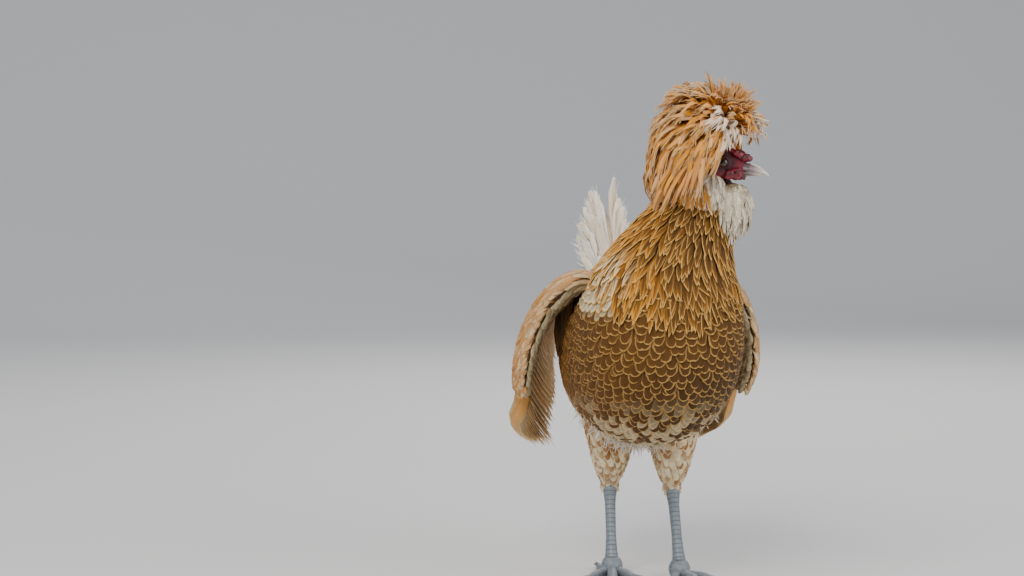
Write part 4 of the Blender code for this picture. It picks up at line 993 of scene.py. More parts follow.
# Covert tiers: first and last place, how many, root behind the leading edge as a share of the chord, length, half
# width, depth, and the angle between feather and arm. The feathers of the leading edge run along it.
COVERT_ROWS = [
    (1.40, 4.10, 18, 0.62, 0.050, 0.0066, 0.0030, 82),
    (1.30, 4.20, 24, 0.50, 0.042, 0.0054, 0.0038, 72),
    (1.20, 4.30, 30, 0.39, 0.034, 0.0046, 0.0042, 62),
    (1.00, 4.40, 34, 0.29, 0.028, 0.0042, 0.0044, 50),
    (0.85, 4.50, 40, 0.20, 0.022, 0.0038, 0.0042, 38),
    (0.70, 4.60, 44, 0.12, 0.018, 0.0034, 0.0038, 28),
    (0.60, 4.70, 48, 0.06, 0.015, 0.0030, 0.0034, 18),
    (0.55, 4.75, 52, 0.01, 0.014, 0.0028, 0.0032, 8),
]
UNDER_ROWS = [
    (1.60, 4.10, 20, 0.56, 0.040, 0.0060, 0.0016, 82),
    (1.50, 4.30, 26, 0.40, 0.031, 0.0050, 0.0022, 68),
    (1.40, 4.40, 34, 0.27, 0.024, 0.0040, 0.0026, 52),
    (1.10, 4.60, 42, 0.16, 0.018, 0.0034, 0.0028, 36),
    (0.80, 4.70, 48, 0.09, 0.015, 0.0030, 0.0030, 22),
    (0.60, 4.75, 52, 0.04, 0.014, 0.0028, 0.0030, 10),
]
flight_paint = feather_paint("flight_feather", "flight", srgb(244, 214, 160), lace=0.17, aspect=11.0, mottle=0.6, strands=0.9)
covert_paint = feather_paint("wing_covert", "scale", srgb(246, 216, 164), lace=0.16, aspect=5.0, lace_strength=0.6, mottle=0.7, strands=1.0)


def wing_coats(side, label):
    wing = Wing(side, label)
    rng = np.random.default_rng(40 + side)
    flights = Coat(f"wing_{label}_flights", "flight", 41)
    loose = Coat(f"wing_{label}_barbs", "wisp", 44)
    t = stations("flight")
    for first, last, count, half, depth, bright, tilt, forward in (
        (1.36, 3.95, 20, 0.0088, 0.0, 0.35, 16, 0.0),
        (4.08, 5.95, 18, 0.0072, -0.0058, 0.1, 26, 0.22),
    ):
        place = np.linspace(first, last, count)
        share = np.minimum(t[None, :] * (1.0 + rng.uniform(-0.02, 0.01, (count, 1))), 1) * (1 + forward) - forward
        places = np.broadcast_to(place[:, None], share.shape)
        spine = wing.sheet(places, share, depth * (0.6 + 0.4 * smooth_step(0.0, 0.3, share)))
        face = wing.shingled(spine, places, math.radians(tilt))
        dye = blend(blend(GOLD, BUFF, 0.6), PINK_BUFF, np.clip(rng.uniform(0, 0.8, count) + bright * 0.2, 0, 1))
        dye = dye * rng.uniform(0.62, 1.05, (count, 1))
        # Painted shade: the secondaries, seen in the hollow by the body, are darkened towards brown, the primaries only
        # a little; their tips stay pale.
        dye = blend(dye, BROWN, (0.75 if forward == 0 else 0.12) * rng.uniform(0.7, 1.0, count))
        bake = np.stack([(place - 1) / 6, np.full(count, 0.3)], axis=1)
        flights.add(spine, face, half, dye, bake, thickness=0.0006, camber=0.12, fray=0.12, tip_dye=blend(CREAM, BUFF, 0.6))
        barbs_and_shade_wisps = np.broadcast_to(blend(CREAM, BUFF, 0.5), dye.shape)
        frayed(loose, spine, face, half * 0.9, barbs_and_shade_wisps, bake, 8, 0.005)
    flights.make(flight_paint, "buff_plumage", f"wing_{label}_secondaries", f"wing_{label}_primaries")
    # Dark olive-brown wisps hang in the hollow between the wing and the body as painted shade, so the floor doesn't
    # show through there. They share one piece with the loose barbs.
    hollow = rng.uniform(0, 1, (3, 34))
    root, out, back, _, _ = wing.frame(1.15 + 0.45 * hollow[0])
    root = root + back * (0.030 * hollow[1])[:, None]
    drop = np.array((side * 0.005, 0.006, -0.066)) * (0.7 + 0.3 * hollow[2])[:, None]
    t = stations("wisp")[None, :, None]
    spine = root[:, None] + drop[:, None] * t + np.array((side * 0.002, 0, 0)) * np.sin(math.pi * t)
    face = np.broadcast_to(rng.normal(0, 0.25, (34, 1, 3)) + (0, -1, 0), spine.shape)
    bake = np.stack([hollow[0], 0.05 + 0.1 * hollow[1]], axis=1)
    loose.add(spine, face, 0.0042, blend(OLIVE, BROWN, hollow[2]), bake, thickness=0.0003, camber=0.1, fray=0.3)
    loose.make(fringe_paint, "buff_plumage")
    coverts = Coat(f"wing_{label}_coverts", "scale", 42)
    t = stations("scale")
    for face_sign, rows in ((1, COVERT_ROWS), (-1, UNDER_ROWS)):
        for number, (first, last, count, start, length, half, depth, turn) in enumerate(rows):
            place = np.linspace(first, last, count) + rng.uniform(-0.3, 0.3, count) * (last - first) / count
            narrow = np.interp(place, (1, 3, 5.6), (1.0, 0.9, 0.5))
            chord = spline_rows(wing.arm, place)[:, 3]
            reach = (start * chord + 0.001 * rng.uniform(-1, 1, count))[:, None]
            run = length * narrow[:, None] * t[None, :] * rng.uniform(0.88, 1.10, (count, 1))
            turned = np.radians(turn + rng.normal(0, 6, (count, 1)))
            reach = reach + run * np.sin(turned)
            pace = np.linalg.norm(spline_rows(wing.arm, place + 0.1)[:, :3] - spline_rows(wing.arm, place - 0.1)[:, :3], axis=1)
            places = place[:, None] + run * np.cos(turned) / (pace[:, None] / 0.2)
            spine = wing.surface(places, reach, depth * np.interp(t, (0, 0.3, 1), (-0.2, 0.6, 1.0))[None, :], face_sign)
            middle, out, back, _, _ = wing.frame(places)
            face = spine - middle
            face = unit(face - back * (0.75 * (face * back).sum(axis=2).clip(0))[..., None]) + out * face_sign * 0.6
            face = face + rng.normal(0, 0.12, (count, 1, 3))
            share = number / (len(rows) - 1)
            edge = smooth_step(0.55, 1.0, share)
            low = smooth_step(2.6, 4.6, place)
            if face_sign > 0:
                dye = blend(PINK_BUFF, AMBER, np.clip(0.40 + 0.35 * low + rng.normal(0, 0.30, count), 0, 1))
                # Greyer towards the leading edge: downy feathers, partly painted shade.
                dye = blend(dye, GREY_DOWN_AND_SHADE, np.clip(edge * 0.30 + rng.normal(0.0, 0.15, count), 0, 1))
                dye = blend(dye, CREAM, np.clip(edge * 0.25 + rng.normal(0.0, 0.2, count), 0, 1))
            else:
                # The under face is olive brown as painted shade for the hollow between wing and body, greyer and paler
                # towards the leading edge.
                dye = blend(blend(OLIVE, BUFF, 0.2), GREY_DOWN_AND_SHADE, edge * 0.8)
                dye = blend(dye, CREAM, edge * rng.uniform(0.0, 0.5, count))
            bake = np.stack([(place - 0.6) / 6, np.full(count, 0.25 + face_sign * 0.2 + number * 0.03)], axis=1)
            coverts.add(spine, face, half * (0.4 + 0.6 * narrow), dye, bake, camber=0.2, fray=0.32, tip_dye=blend(dye, CREAM, 0.12))
    coverts.make(covert_paint, "buff_plumage", f"wing_{label}_arm")
    return wing


wings = [wing_coats(1, "left"), wing_coats(-1, "right")]

# %% [markdown]
# The tail is a cocked fan. Its feathers pair up on both sides of the middle, the top pair standing steepest, and
# shorter coverts cover their roots. They are loose and nearly white.

# %% Tail
TAIL_ROOT = np.array((0.0, 0.136, 0.264))
TAIL_PAIRS = 9
TAIL_LENGTH = 0.101
TAIL_TOP_RISE, TAIL_LOW_RISE = 49, 24
TAIL_TOP_LEAN, TAIL_LOW_LEAN = 1, 5


def tail_spines(side, share, length, outward, shape, rng):
    """Feathers of one side of the tail. share runs from the top feather to the lowest."""
    rise = np.radians(TAIL_TOP_RISE + (TAIL_LOW_RISE - TAIL_TOP_RISE) * share)
    lean = side * np.radians(TAIL_TOP_LEAN + (TAIL_LOW_LEAN - TAIL_TOP_LEAN) * share)
    away = np.stack([np.sin(lean), np.cos(lean) * np.cos(rise), np.cos(lean) * np.sin(rise)], axis=1)
    root = TAIL_ROOT + np.stack([side * (0.0020 + 0.0050 * share), -0.006 + 0.006 * share, 0.004 - 0.018 * share], axis=1)
    over = np.array((side * 0.78, -0.60, 0.10)) + rng.normal(0, 0.10, (len(share), 3))
    over = unit(over - away * (over * away).sum(axis=1, keepdims=True))
    t = stations(shape)[None, :, None]
    bow = rng.normal(0, 0.004, (len(share), 1, 1)) * t * t
    drift = np.cross(over, away)[:, None] * bow
    lift = outward[:, None, None] * np.minimum(1.0, 4 * t) + 0.008 * t * t
    return root[:, None] + away[:, None] * length[:, None, None] * t + over[:, None] * lift + drift, np.broadcast_to(
        over[:, None], (len(share), t.shape[1], 3)
    )


tail_rng = np.random.default_rng(25)
tail_paint = feather_paint("tail_feather", "flight", srgb(250, 240, 222), lace=0.12, aspect=9.0, mottle=0.4, strands=0.7)
tail = Coat("tail_feathers", "flight", 35)
tail_fringe = Coat("tail_fringe", "wisp", 43)
for side in (-1, 1):
    for count, length, half, stand, low in (
        (TAIL_PAIRS, TAIL_LENGTH * 0.95, 0.0090, 0.0, 0.0),
        (8, 0.080, 0.0080, 0.0022, 0.04),
        (8, 0.064, 0.0075, 0.0042, 0.02),
        (7, 0.048, 0.0070, 0.0060, 0.0),
    ):
        share = np.linspace(low, 1.0 - low, count)
        outward = 0.0019 * 3 * (1 - share) / 2 + stand
        sizes = length * (1.0 - 0.14 * share) * tail_rng.uniform(0.84, 1.04, count)
        spine, face = tail_spines(side, share, sizes, outward, "flight", tail_rng)
        dye = blend(WHITE, BUFF, np.clip(tail_rng.normal(0.22, 0.25, count), 0, 0.8))
        bake = np.stack([0.5 + side * (0.05 + 0.4 * share), np.full(count, 0.2 + stand * 90)], axis=1)
        tail.add(spine, face, half, dye, bake, thickness=0.0005, camber=0.25, fray=0.22, tip_dye=blend(WHITE, CREAM, 0.6))
        frayed(tail_fringe, spine, face, half * 0.8, np.broadcast_to(WHITE, dye.shape), bake, 5, 0.005)
tail.make(tail_paint, "cream_plumage", "tail")
tail_fringe.make(fringe_paint, "cream_plumage")

# %% [markdown]
# The thighs taper to the hock. Their feathers are short, soft and pale with a brown mark, and lie down the leg.

# %% Thighs
HIP_HEIGHT, HOCK_HEIGHT, HOCK_BACK = 0.165, 0.080, 0.020
LEGS = {"left": (1, 0.0280, 0.0200, -0.0140), "right": (-1, -0.0230, -0.0285, 0.0100)}
THIGH_SHARES = (0.0, 0.30, 0.55, 0.78, 0.94, 1.0)
THIGH_RADII = (0.0265, 0.0240, 0.0195, 0.0145, 0.0098, 0.0068)


class Thigh:
    """Points of one thigh. share runs from the knee to the hock."""

    def __init__(self, label):
        self.side, x, knee_x, self.foot_y = LEGS[label]
        self.hock = np.array((x, self.foot_y + HOCK_BACK, HOCK_HEIGHT))
        self.knee = np.array((knee_x, self.foot_y - 0.006, HIP_HEIGHT))
        self.ankle = np.array((x + self.side * 0.002, self.foot_y, 0.0150))
        self.ahead = unit(self.hock - self.knee)
        self.across = unit(np.cross(self.ahead, (0, 1, 0)))
        self.over = np.cross(self.across, self.ahead)

    def point(self, share, angle, lift=0.0):
        share, angle, lift = np.broadcast_arrays(share, angle, lift)
        middle = self.knee + (self.hock - self.knee) * share[..., None]
        middle = middle - np.array((0, 0.004, 0)) * np.sin(math.pi * np.clip(share, 0, 1))[..., None]
        radius = np.interp(share, THIGH_SHARES, THIGH_RADII) + lift
        across, over = np.cos(angle) * radius, np.sin(angle) * radius * 1.15
        return middle + self.across * across[..., None] + self.over * over[..., None]


thigh_rng = np.random.default_rng(26)
thigh_paint = feather_paint("thigh_feather", "scale", srgb(238, 216, 180), lace=0.30, aspect=4.5)
thighs = {label: Thigh(label) for label in LEGS}
t = stations("scale")
for label, thigh in thighs.items():
    coat = Coat(f"thigh_{label}_feathers", "scale", 36)
    for number, start in enumerate(np.arange(0.20, 0.99, 0.052)):
        radius = float(np.interp(start, THIGH_SHARES, THIGH_RADII))
        count = max(8, int(2 * math.pi * radius / 0.0062))
        angle = 2 * math.pi * (np.arange(count) + 0.5 * (number % 2) + thigh_rng.uniform(-0.2, 0.2, count)) / count
        length = 0.0165 * (1.0 - 0.35 * start) * thigh_rng.uniform(0.9, 1.1, count) / 0.0874
        share = start + length[:, None] * t[None, :]
        sway = thigh_rng.normal(0, 0.05, (count, 1)) * t[None, :]
        lift = np.interp(t, (0, 0.4, 1), (-0.0012, 0.0006, 0.0016))[None, :]
        spine = thigh.point(share, angle[:, None] + sway, lift)
        face = spine - thigh.point(share, angle[:, None] + sway, -0.02)
        marked = np.where(thigh_rng.uniform(0, 1, count) < 0.5, 0.85, 0.12) + 0.2 * (start < 0.5)
        dye = blend(CREAM, blend(BROWN, AMBER, 0.5), np.clip(marked + thigh_rng.normal(0, 0.1, count), 0, 1))
        bake = np.stack([(angle / (2 * math.pi)) % 1.0, np.full(count, start)], axis=1)
        coat.add(spine, face, 0.0044 - 0.0014 * start, dye, bake, fray=0.25, tip_dye=blend(dye, CREAM, 0.2))
    coat.make(thigh_paint, "cream_plumage")

# %% [markdown]
# Between and above the legs the plumage is whitish down. Its barbs don't hold together, so it is made of single wisps.

# %% Down under the belly
down_rng = np.random.default_rng(27)
down_roots = np.stack([down_rng.uniform(1.0, 6.4, 2600), math.pi + down_rng.normal(0, 0.42, 2600)], axis=1)
down_at = body_points(down_roots[:, 0], down_roots[:, 1])
down_roots = down_roots[(down_at[:, 2] < 0.150) & (down_at[:, 1] > -0.035)]
down_at = body_points(down_roots[:, 0], down_roots[:, 1])
down_normal = body_normals(down_roots[:, 0], down_roots[:, 1])
down_coat = Coat("belly_down", "wisp", 39)
count = len(down_roots)
away = unit(down_normal * 0.5 + np.array((0, 0.35, -0.9)) + down_rng.normal(0, 0.35, (count, 3)))
t = stations("wisp")[None, :, None]
curl = down_rng.normal(0, 0.0022, (count, 1, 3)) * t * t
long = down_rng.uniform(0.006, 0.013, (count, 1, 1))
spine = down_at[:, None] - down_normal[:, None] * 0.001 + away[:, None] * long * t + curl
face = np.broadcast_to(down_rng.normal(0, 1, (count, 1, 3)), spine.shape)
dye = blend(WHITE, BUFF, down_rng.uniform(0, 0.4, count))
down_coat.add(spine, face, down_rng.uniform(0.0004, 0.0008, count), dye, bake_of(down_roots), thickness=0.0002, camber=0.1)
down_coat.make(fringe_paint, "cream_plumage")

# %% [markdown]
# One skin lies under all the feathers. Its trunk, thighs, arms, crown, chin and cheeks are plain closed shapes that
# overlap, and remeshing them as one volume joins them without a seam. It lies a little inside the solids, by the
# depth of the coat.

# %% The body's skin


def loft_object(name, rings):
    """A closed mesh through rings, an array of ring x point x 3, with a flat cap at both ends."""
    count, around = rings.shape[:2]
    faces = [tuple(reversed(range(around))), tuple(range((count - 1) * around, count * around))]
    for r in range(count - 1):
        for k in range(around):
            n = (k + 1) % around
            faces.append((r * around + k, r * around + n, (r + 1) * around + n, (r + 1) * around + k))
    mesh = bpy.data.meshes.new(name)
    mesh.from_pydata((rings.reshape(-1, 3) + SHIFT).tolist(), [], faces)
    made = bpy.data.objects.new(name, mesh)
    bpy.context.scene.collection.objects.link(made)
    edit_all(made, (bpy.ops.mesh.normals_make_consistent, {"inside": False}))
    return made


def ball(name, place, radii, detail=4):
    """An ellipsoid in the head's frame."""
    made = primitive(bpy.ops.mesh.primitive_ico_sphere_add, name, subdivisions=detail, radius=1.0)
    points = np.array([vert.co for vert in made.data.vertices]) * np.array(radii) + np.array(place)
    world_points = at_head(points[:, 0], points[:, 1], points[:, 2]) + SHIFT
    made.data.vertices.foreach_set("co", world_points.astype(np.float32).ravel())
    made.data.update()
    return made


def joined(name, parts):
    """Puts several meshes in one object."""
    deselect()
    for part in parts:
        part.select_set(True)
    bpy.context.view_layer.objects.active = parts[0]
    bpy.ops.object.join()
    parts[0].name = name
    parts[0].data.name = name
    return parts[0]


def apply_modifier(obj, kind, **settings):
    deselect()
    bpy.context.view_layer.objects.active = obj
    obj.select_set(True)
    modifier = obj.modifiers.new(kind.lower(), kind)
    for key, value in settings.items():
        setattr(modifier, key, value)
    bpy.ops.object.modifier_apply(modifier=modifier.name)


def remeshed(obj, voxel, smoothing=0):
    apply_modifier(obj, "REMESH", mode="VOXEL", voxel_size=voxel)
    if smoothing:
        apply_modifier(obj, "SMOOTH", iterations=smoothing, factor=0.5)


SKIN_DEPTH, SKIN_VOXEL = 0.0018, 0.0020
turns = np.linspace(0, 2 * math.pi, 65)[:-1]
places = np.linspace(0.1, NECK_TOP, 70)
trunk = body_points(places[:, None], turns[None, :]) - SKIN_DEPTH * body_normals(places[:, None], turns[None, :])
parts = [loft_object("trunk", trunk)]
for thigh in thighs.values():
    parts.append(loft_object("thigh", thigh.point(np.linspace(0.0, 1.03, 24)[:, None], turns[None, ::2], -0.0012)))
for wing in wings:
    along = np.linspace(0.0, 4.6, 36)[:, None]
    slim = 1.0 - 0.7 * smooth_step(3.9, 4.6, along)
    middle, out, back, chord, thick = wing.frame(np.broadcast_to(along, (36, 32)))
    c, s = np.cos(turns[::2]), np.sin(turns[::2])
    ring = middle + back * (c * slim * (chord / 2 - 0.0008))[..., None] + out * (s * slim * (thick / 2 - 0.0008))[..., None]
    parts.append(loft_object("arm", ring))
parts.append(ball("crown", CREST_CENTRE, CREST_CORE - 0.001))
parts.append(ball("chin", BEARD_CENTRE, BEARD_CORE - 0.003))
for side in (-1, 1):
    parts.append(ball("muff", MUFF_CENTRE * (1, side, 1), (0.0085, 0.0038, 0.0055)))
skin = joined("skin", parts)
remeshed(skin, SKIN_VOXEL, 3)
print("body skin", len(skin.data.polygons), "faces")

# %% [markdown]
# The face is the one bare place, so the head is a finer mesh: the skull with its cheeks, thick lids round the eye,
# rings of wrinkles round the lids, and small bumps all over. The sockets are cut after that, just wider than the
# eyeballs, and the head is joined to the body's skin.

# %% The head's skin
from mathutils import kdtree, noise

SKULL = np.array([
    (-0.0200, 0.0030, 0.0050, 0.0055),
    (-0.0165, 0.0025, 0.0105, 0.0120),
    (-0.0090, 0.0020, 0.0148, 0.0172),
    (0.0000, 0.0020, 0.0160, 0.0185),
    (0.0090, 0.0012, 0.0156, 0.0175),
    (0.0170, 0.0000, 0.0136, 0.0148),
    (0.0240, -0.0018, 0.0106, 0.0116),
    (0.0290, -0.0034, 0.0088, 0.0096),
    (0.0345, -0.0052, 0.0070, 0.0074),
])
LID_THICKNESS = 0.0011
UPPER_LID, LOWER_LID, LID_RIM = math.radians(44), math.radians(50), math.radians(84)
LID_SWEEP = math.radians(84)
HEAD_VOXEL = 0.00045


def skull_object():
    forward, middle, half_width, half_height = spline_rows(SKULL, np.linspace(0, 8, 34)[:, None]).transpose(2, 0, 1)
    return loft_object("skull", at_head(forward, half_width * np.cos(turns), middle + half_height * np.sin(turns)))


def lid(side, upper):
    """One eyelid: a crescent with a rounded edge that covers the top or the bottom of the eyeball."""
    axis = unit(LEFT * side + FORWARD * 0.25)
    high = UP * (1 if upper else -1)
    flat = unit(np.cross(axis, high))
    inner = UPPER_LID if upper else LOWER_LID
    swing = LID_SWEEP * np.linspace(-1, 1, 25)[:, None]
    outwards = flat * np.sin(swing)[..., None] + high * np.cos(swing)[..., None]
    thick = LID_THICKNESS * (1 - 0.35 * np.abs(np.sin(swing)))
    base = EYE_RADIUS + 0.0002
    rows = ((inner, 0.0, 0.0), (inner - 0.05, 0.5, 0.0), (inner + 0.06, 1.0, 0.0), ((inner + LID_RIM) / 2, 1.0, 0.0001),
            (LID_RIM, 1.0, 0.0004), (LID_RIM, 0.0, -0.0008))
    ring = []
    for angle, share, extra in rows:
        way = axis * math.cos(angle) + outwards * math.sin(angle)
        ring.append(way * (base + thick * share + extra)[..., None])
    centre = at_head(EYE_FORWARD, side * EYE_SIDE, EYE_UP)
    return loft_object("lid", centre + np.concatenate(ring, axis=1))


def head_places(points):
    """World points in the head's own frame."""
    return (points - SHIFT - HEAD_AT) @ np.stack([FORWARD, LEFT, UP], axis=1)


def vertex_array(obj):
    values = np.empty(len(obj.data.vertices) * 3, np.float32)
    obj.data.vertices.foreach_get("co", values)
    return values.reshape(-1, 3).astype(float)


def normal_array(obj):
    values = np.empty(len(obj.data.vertices) * 3, np.float32)
    obj.data.vertex_normals.foreach_get("vector", values)
    return values.reshape(-1, 3).astype(float)


def push(obj, heights):
    """Moves every vertex along its normal."""
    moved = vertex_array(obj) + normal_array(obj) * heights[:, None]
    obj.data.vertices.foreach_set("co", moved.astype(np.float32).ravel())
    obj.data.update()


def lumps(points, size, seed):
    """Smooth noise from -1 to 1 at points, with lumps of about this size."""
    drift = Vector((seed * 7.1, seed * 3.3, seed))
    return np.array([noise.noise(Vector(p) / size + drift) for p in points])


head_parts = [skull_object()]
for side in (-1, 1):
    head_parts.append(ball("cheek", (0.0135, side * 0.0110, -0.0080), (0.0080, 0.0042, 0.0052)))
    head_parts += [lid(side, upper) for upper in (True, False)]
head = joined("head_skin", head_parts)
remeshed(head, HEAD_VOXEL, 3)
points = vertex_array(head)
place = head_places(points)
eye_gap = np.min(
    [np.linalg.norm(place - (EYE_FORWARD, side * EYE_SIDE, EYE_UP), axis=1) for side in (-1, 1)], axis=0
)
ringed = np.sin((eye_gap - EYE_RADIUS) / 0.0011 * 2 * math.pi) * smooth_step(0.0062, 0.0072, eye_gap)
ringed = ringed * smooth_step(0.0115, 0.0085, eye_gap) * 0.00012
bumps = lumps(points, 0.0016, 1) * 0.00016 + lumps(points, 0.0045, 2) * 0.00030
push(head, ringed + bumps * smooth_step(0.0058, 0.0066, eye_gap))
for side in (-1, 1):
    socket = ball("socket", (EYE_FORWARD, side * EYE_SIDE, EYE_UP), [EYE_RADIUS + 0.0002] * 3)
    apply_modifier(head, "BOOLEAN", operation="DIFFERENCE", object=socket, solver="EXACT")
    bpy.data.objects.remove(socket)
apply_modifier(skin, "BOOLEAN", operation="UNION", object=head, solver="EXACT")
bpy.data.objects.remove(head)
skin.data.shade_smooth()
skin.data.calc_loop_triangles()
print("whole skin", len(skin.data.loop_triangles), "triangles")

# %% Skin colours
# The skin takes the trunk's colours at this share of their brightness, as painted shade where it shows between the
# feathers.
SKIN_GAP_SHADE = 0.55
FACE_RED = srgb(128, 22, 40)
EYE_SHADE = srgb(46, 14, 20)
points = vertex_array(skin)
grid_place, grid_angle = np.meshgrid(np.linspace(0.1, 12, 120), np.linspace(0, 2 * math.pi, 97)[:-1], indexing="ij")
grid = body_points(grid_place, grid_angle).reshape(-1, 3) + SHIFT
grid_dye = body_dye(grid_place, grid_angle).reshape(-1, 3)
tree = kdtree.KDTree(len(grid))
for number, point in enumerate(grid):
    tree.insert(point, number)
tree.balance()
nearest = np.array([tree.find(p)[1] for p in points])
dye = grid_dye[nearest] * SKIN_GAP_SHADE
place = head_places(points)
forward, left, up = place.T
near_head = np.linalg.norm(place * (1, 1, 0.9) - (0.004, 0, 0), axis=1) < 0.034
bare = smooth_step(0.000, 0.006, forward) * smooth_step(-0.021, -0.015, up) * smooth_step(0.019, 0.013, up)
bare = bare * near_head * (np.linalg.norm(place - (0.010, 0, 0), axis=1) < 0.027)
eye_gap = np.min(
    [np.linalg.norm(place - (EYE_FORWARD, side * EYE_SIDE, EYE_UP), axis=1) for side in (-1, 1)], axis=0
)
# Near-black round the eyes is painted shade under the crest, over the red of the bare face.
face = blend(FACE_RED, EYE_SHADE, smooth_step(0.0125, 0.0070, eye_gap) * 0.85)
dye = dye * (1 - bare[:, None]) + face * bare[:, None]
# Under the beard the skin is cream at 0.6 of its brightness, painted shade.
chin = smooth_step(-0.014, -0.020, up) * near_head
dye = dye * (1 - chin[:, None]) + np.array(CREAM) * 0.6 * chin[:, None]
for attribute in [a.name for a in skin.data.attributes if a.name in ("dye", "bare")]:
    skin.data.attributes.remove(skin.data.attributes[attribute])
colours = skin.data.attributes.new("dye", "FLOAT_COLOR", "POINT")
colours.data.foreach_set("color", np.c_[dye, np.ones(len(dye))].astype(np.float32).ravel())
mask = skin.data.attributes.new("bare", "FLOAT", "POINT")
mask.data.foreach_set("value", bare.astype(np.float32))

skin_paint = Paint("bird_skin", Roughness=0.55)
skin_paint.shader.inputs["Subsurface Weight"].default_value = 0.12
skin_paint.shader.inputs["Subsurface Radius"].default_value = (0.004, 0.0012, 0.0008)
skin_paint.shader.inputs["Subsurface Scale"].default_value = 0.5
bare_share = skin_paint.attribute("bare")
pebble = skin_paint.node(
    "ShaderNodeTexVoronoi", "Distance", {"feature": "F1"},
    Vector=skin_paint.node("ShaderNodeTexCoord", "Object"), Scale=1150.0,
)
veins = skin_paint.noise(330.0, 4.0)
shade = 0.70 + veins * 0.55 - pebble * 0.25 * bare_share
skin_paint.colour(skin_paint.mix(1.0, skin_paint.attribute("dye", "Color"), skin_paint.vector(shade, shade, shade), "MULTIPLY"))
skin_paint.bump((1.0 - pebble) * bare_share + veins * 0.6, 0.00035, 0.8)
skin.data.materials.clear()
skin.data.materials.append(skin_paint.material)
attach(skin, "root")
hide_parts("torso", "neck", "head", "thigh_left", "thigh_right")

# %% [markdown]
# The comb of this breed is two small horns in a V over the nostrils, with rough knobs at their foot, and the wattles are
# small folded lobes at the corners of the mouth. Both are soft wet skin. Overlapping balls are remeshed as one volume
# each, smoothed, and roughened with lumps.

# %% Comb and wattles
COMB = ((0.0325, 0.0, 0.0040), (0.0060, 0.0066, 0.0038))
COMB_BUMP = ((0.0372, 0.0034, 0.0042), (0.0026, 0.0021, 0.0026))
COMB_HORN, COMB_HORN_END = np.array((0.0335, 0.0030, 0.0052)), np.array((0.0250, 0.0088, 0.0098))
WATTLE = ((0.0290, 0.0082, -0.0088), (0.0056, 0.0027, 0.0055))
WATTLE_FOLD = ((0.0235, 0.0102, -0.0098), (0.0048, 0.0026, 0.0045))
LOBE_VOXEL = 0.00032

flesh_paint = Paint("comb_flesh", Roughness=0.38, Coat_Weight=0.25)
flesh_paint.shader.inputs["Subsurface Weight"].default_value = 0.15
flesh_paint.shader.inputs["Subsurface Radius"].default_value = (0.003, 0.0008, 0.0006)
flesh_paint.shader.inputs["Subsurface Scale"].default_value = 0.5
patch = flesh_paint.noise(260.0, 3.0).above(0.38, 0.62)
flesh_paint.colour(flesh_paint.mix(patch, srgb(138, 18, 40), srgb(58, 10, 18)))
flesh_paint.bump(flesh_paint.noise(900.0, 3.0), 0.0003, 0.7)
lobe_rng = np.random.default_rng(28)


def knobs(place, radii, count, low, high):
    """Small balls on the outside of an ellipsoid, only on its front and top."""
    ways = unit(lobe_rng.normal(0, 1, (count, 3)) * (1, 1, 0.8) + (0.5, 0, 0.4))
    return [(np.array(place) + way * radii * 0.92, [lobe_rng.uniform(low, high)] * 3) for way in ways]


def red_piece(name, lobes, node):
    made = joined(name, [ball("lobe", place, radii, 3) for place, radii in lobes])
    remeshed(made, LOBE_VOXEL, 3)
    points = vertex_array(made)
    push(made, lumps(points, 0.0012, 5) * 0.00020 + lumps(points, 0.0030, 6) * 0.00035)
    made.data.shade_smooth()
    made.data.materials.clear()
    made.data.materials.append(flesh_paint.material)
    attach(made, "root")
    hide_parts(node)
    print(name, len(made.data.polygons), "faces")


lobes = [COMB, *knobs(*COMB, 44, 0.0010, 0.0018)]
for side in (-1, 1):
    mirror = np.array((1, side, 1))
    lobes.append((COMB_BUMP[0] * mirror, COMB_BUMP[1]))
    for share in np.linspace(0, 1, 8):
        radius = np.interp(share, (0, 0.4, 0.75, 1), (0.0029, 0.0032, 0.0024, 0.0012))
        lobes.append(((COMB_HORN * (1 - share) + COMB_HORN_END * share) * mirror, [radius] * 3))
red_piece("comb_flesh", lobes, "comb")
for side, label in ((1, "left"), (-1, "right")):
    mirror = np.array((1, side, 1))
    lobes = [(np.array(WATTLE[0]) * mirror, WATTLE[1]), (np.array(WATTLE_FOLD[0]) * mirror, WATTLE_FOLD[1])]
    lobes += knobs(*lobes[0], 12, 0.0009, 0.0014)
    red_piece(f"wattle_{label}_flesh", lobes, f"wattle_{label}")

# %% [markdown]
# Each half of the bill is a hollow-edged spoon of horn. A row of sections gives its length, and the section is a full
# arch outside and a shallow one inside, so the edges are sharp. The nostrils are cut into the upper half.

# %% Bill
BILL_BASE, MOUTH_UP, MOUTH_GAP = 0.0348, -0.0062, 0.0004
# forward from the bill's base, drop, half width, height
UPPER_BILL = np.array([
    (-0.0040, 0.0006, 0.0064, 0.0068),
    (0.0000, 0.0000, 0.0062, 0.0068),
    (0.0050, -0.0001, 0.0055, 0.0063),
    (0.0100, -0.0004, 0.0045, 0.0052),
    (0.0145, -0.0009, 0.0032, 0.0038),
    (0.0182, -0.0018, 0.0018, 0.0022),
    (0.0206, -0.0031, 0.0004, 0.0005),
])
LOWER_BILL = np.array([
    (-0.0040, 0.0004, 0.0056, 0.0037),
    (0.0000, 0.0000, 0.0055, 0.0037),
    (0.0055, -0.0003, 0.0047, 0.0032),
    (0.0100, -0.0006, 0.0036, 0.0025),
    (0.0138, -0.0012, 0.0023, 0.0016),
    (0.0163, -0.0019, 0.0005, 0.0005),
])
NOSTRIL, NOSTRIL_RADII = np.array((0.0040, 0.0058, 0.0036)), (0.0021, 0.0013, 0.0008)


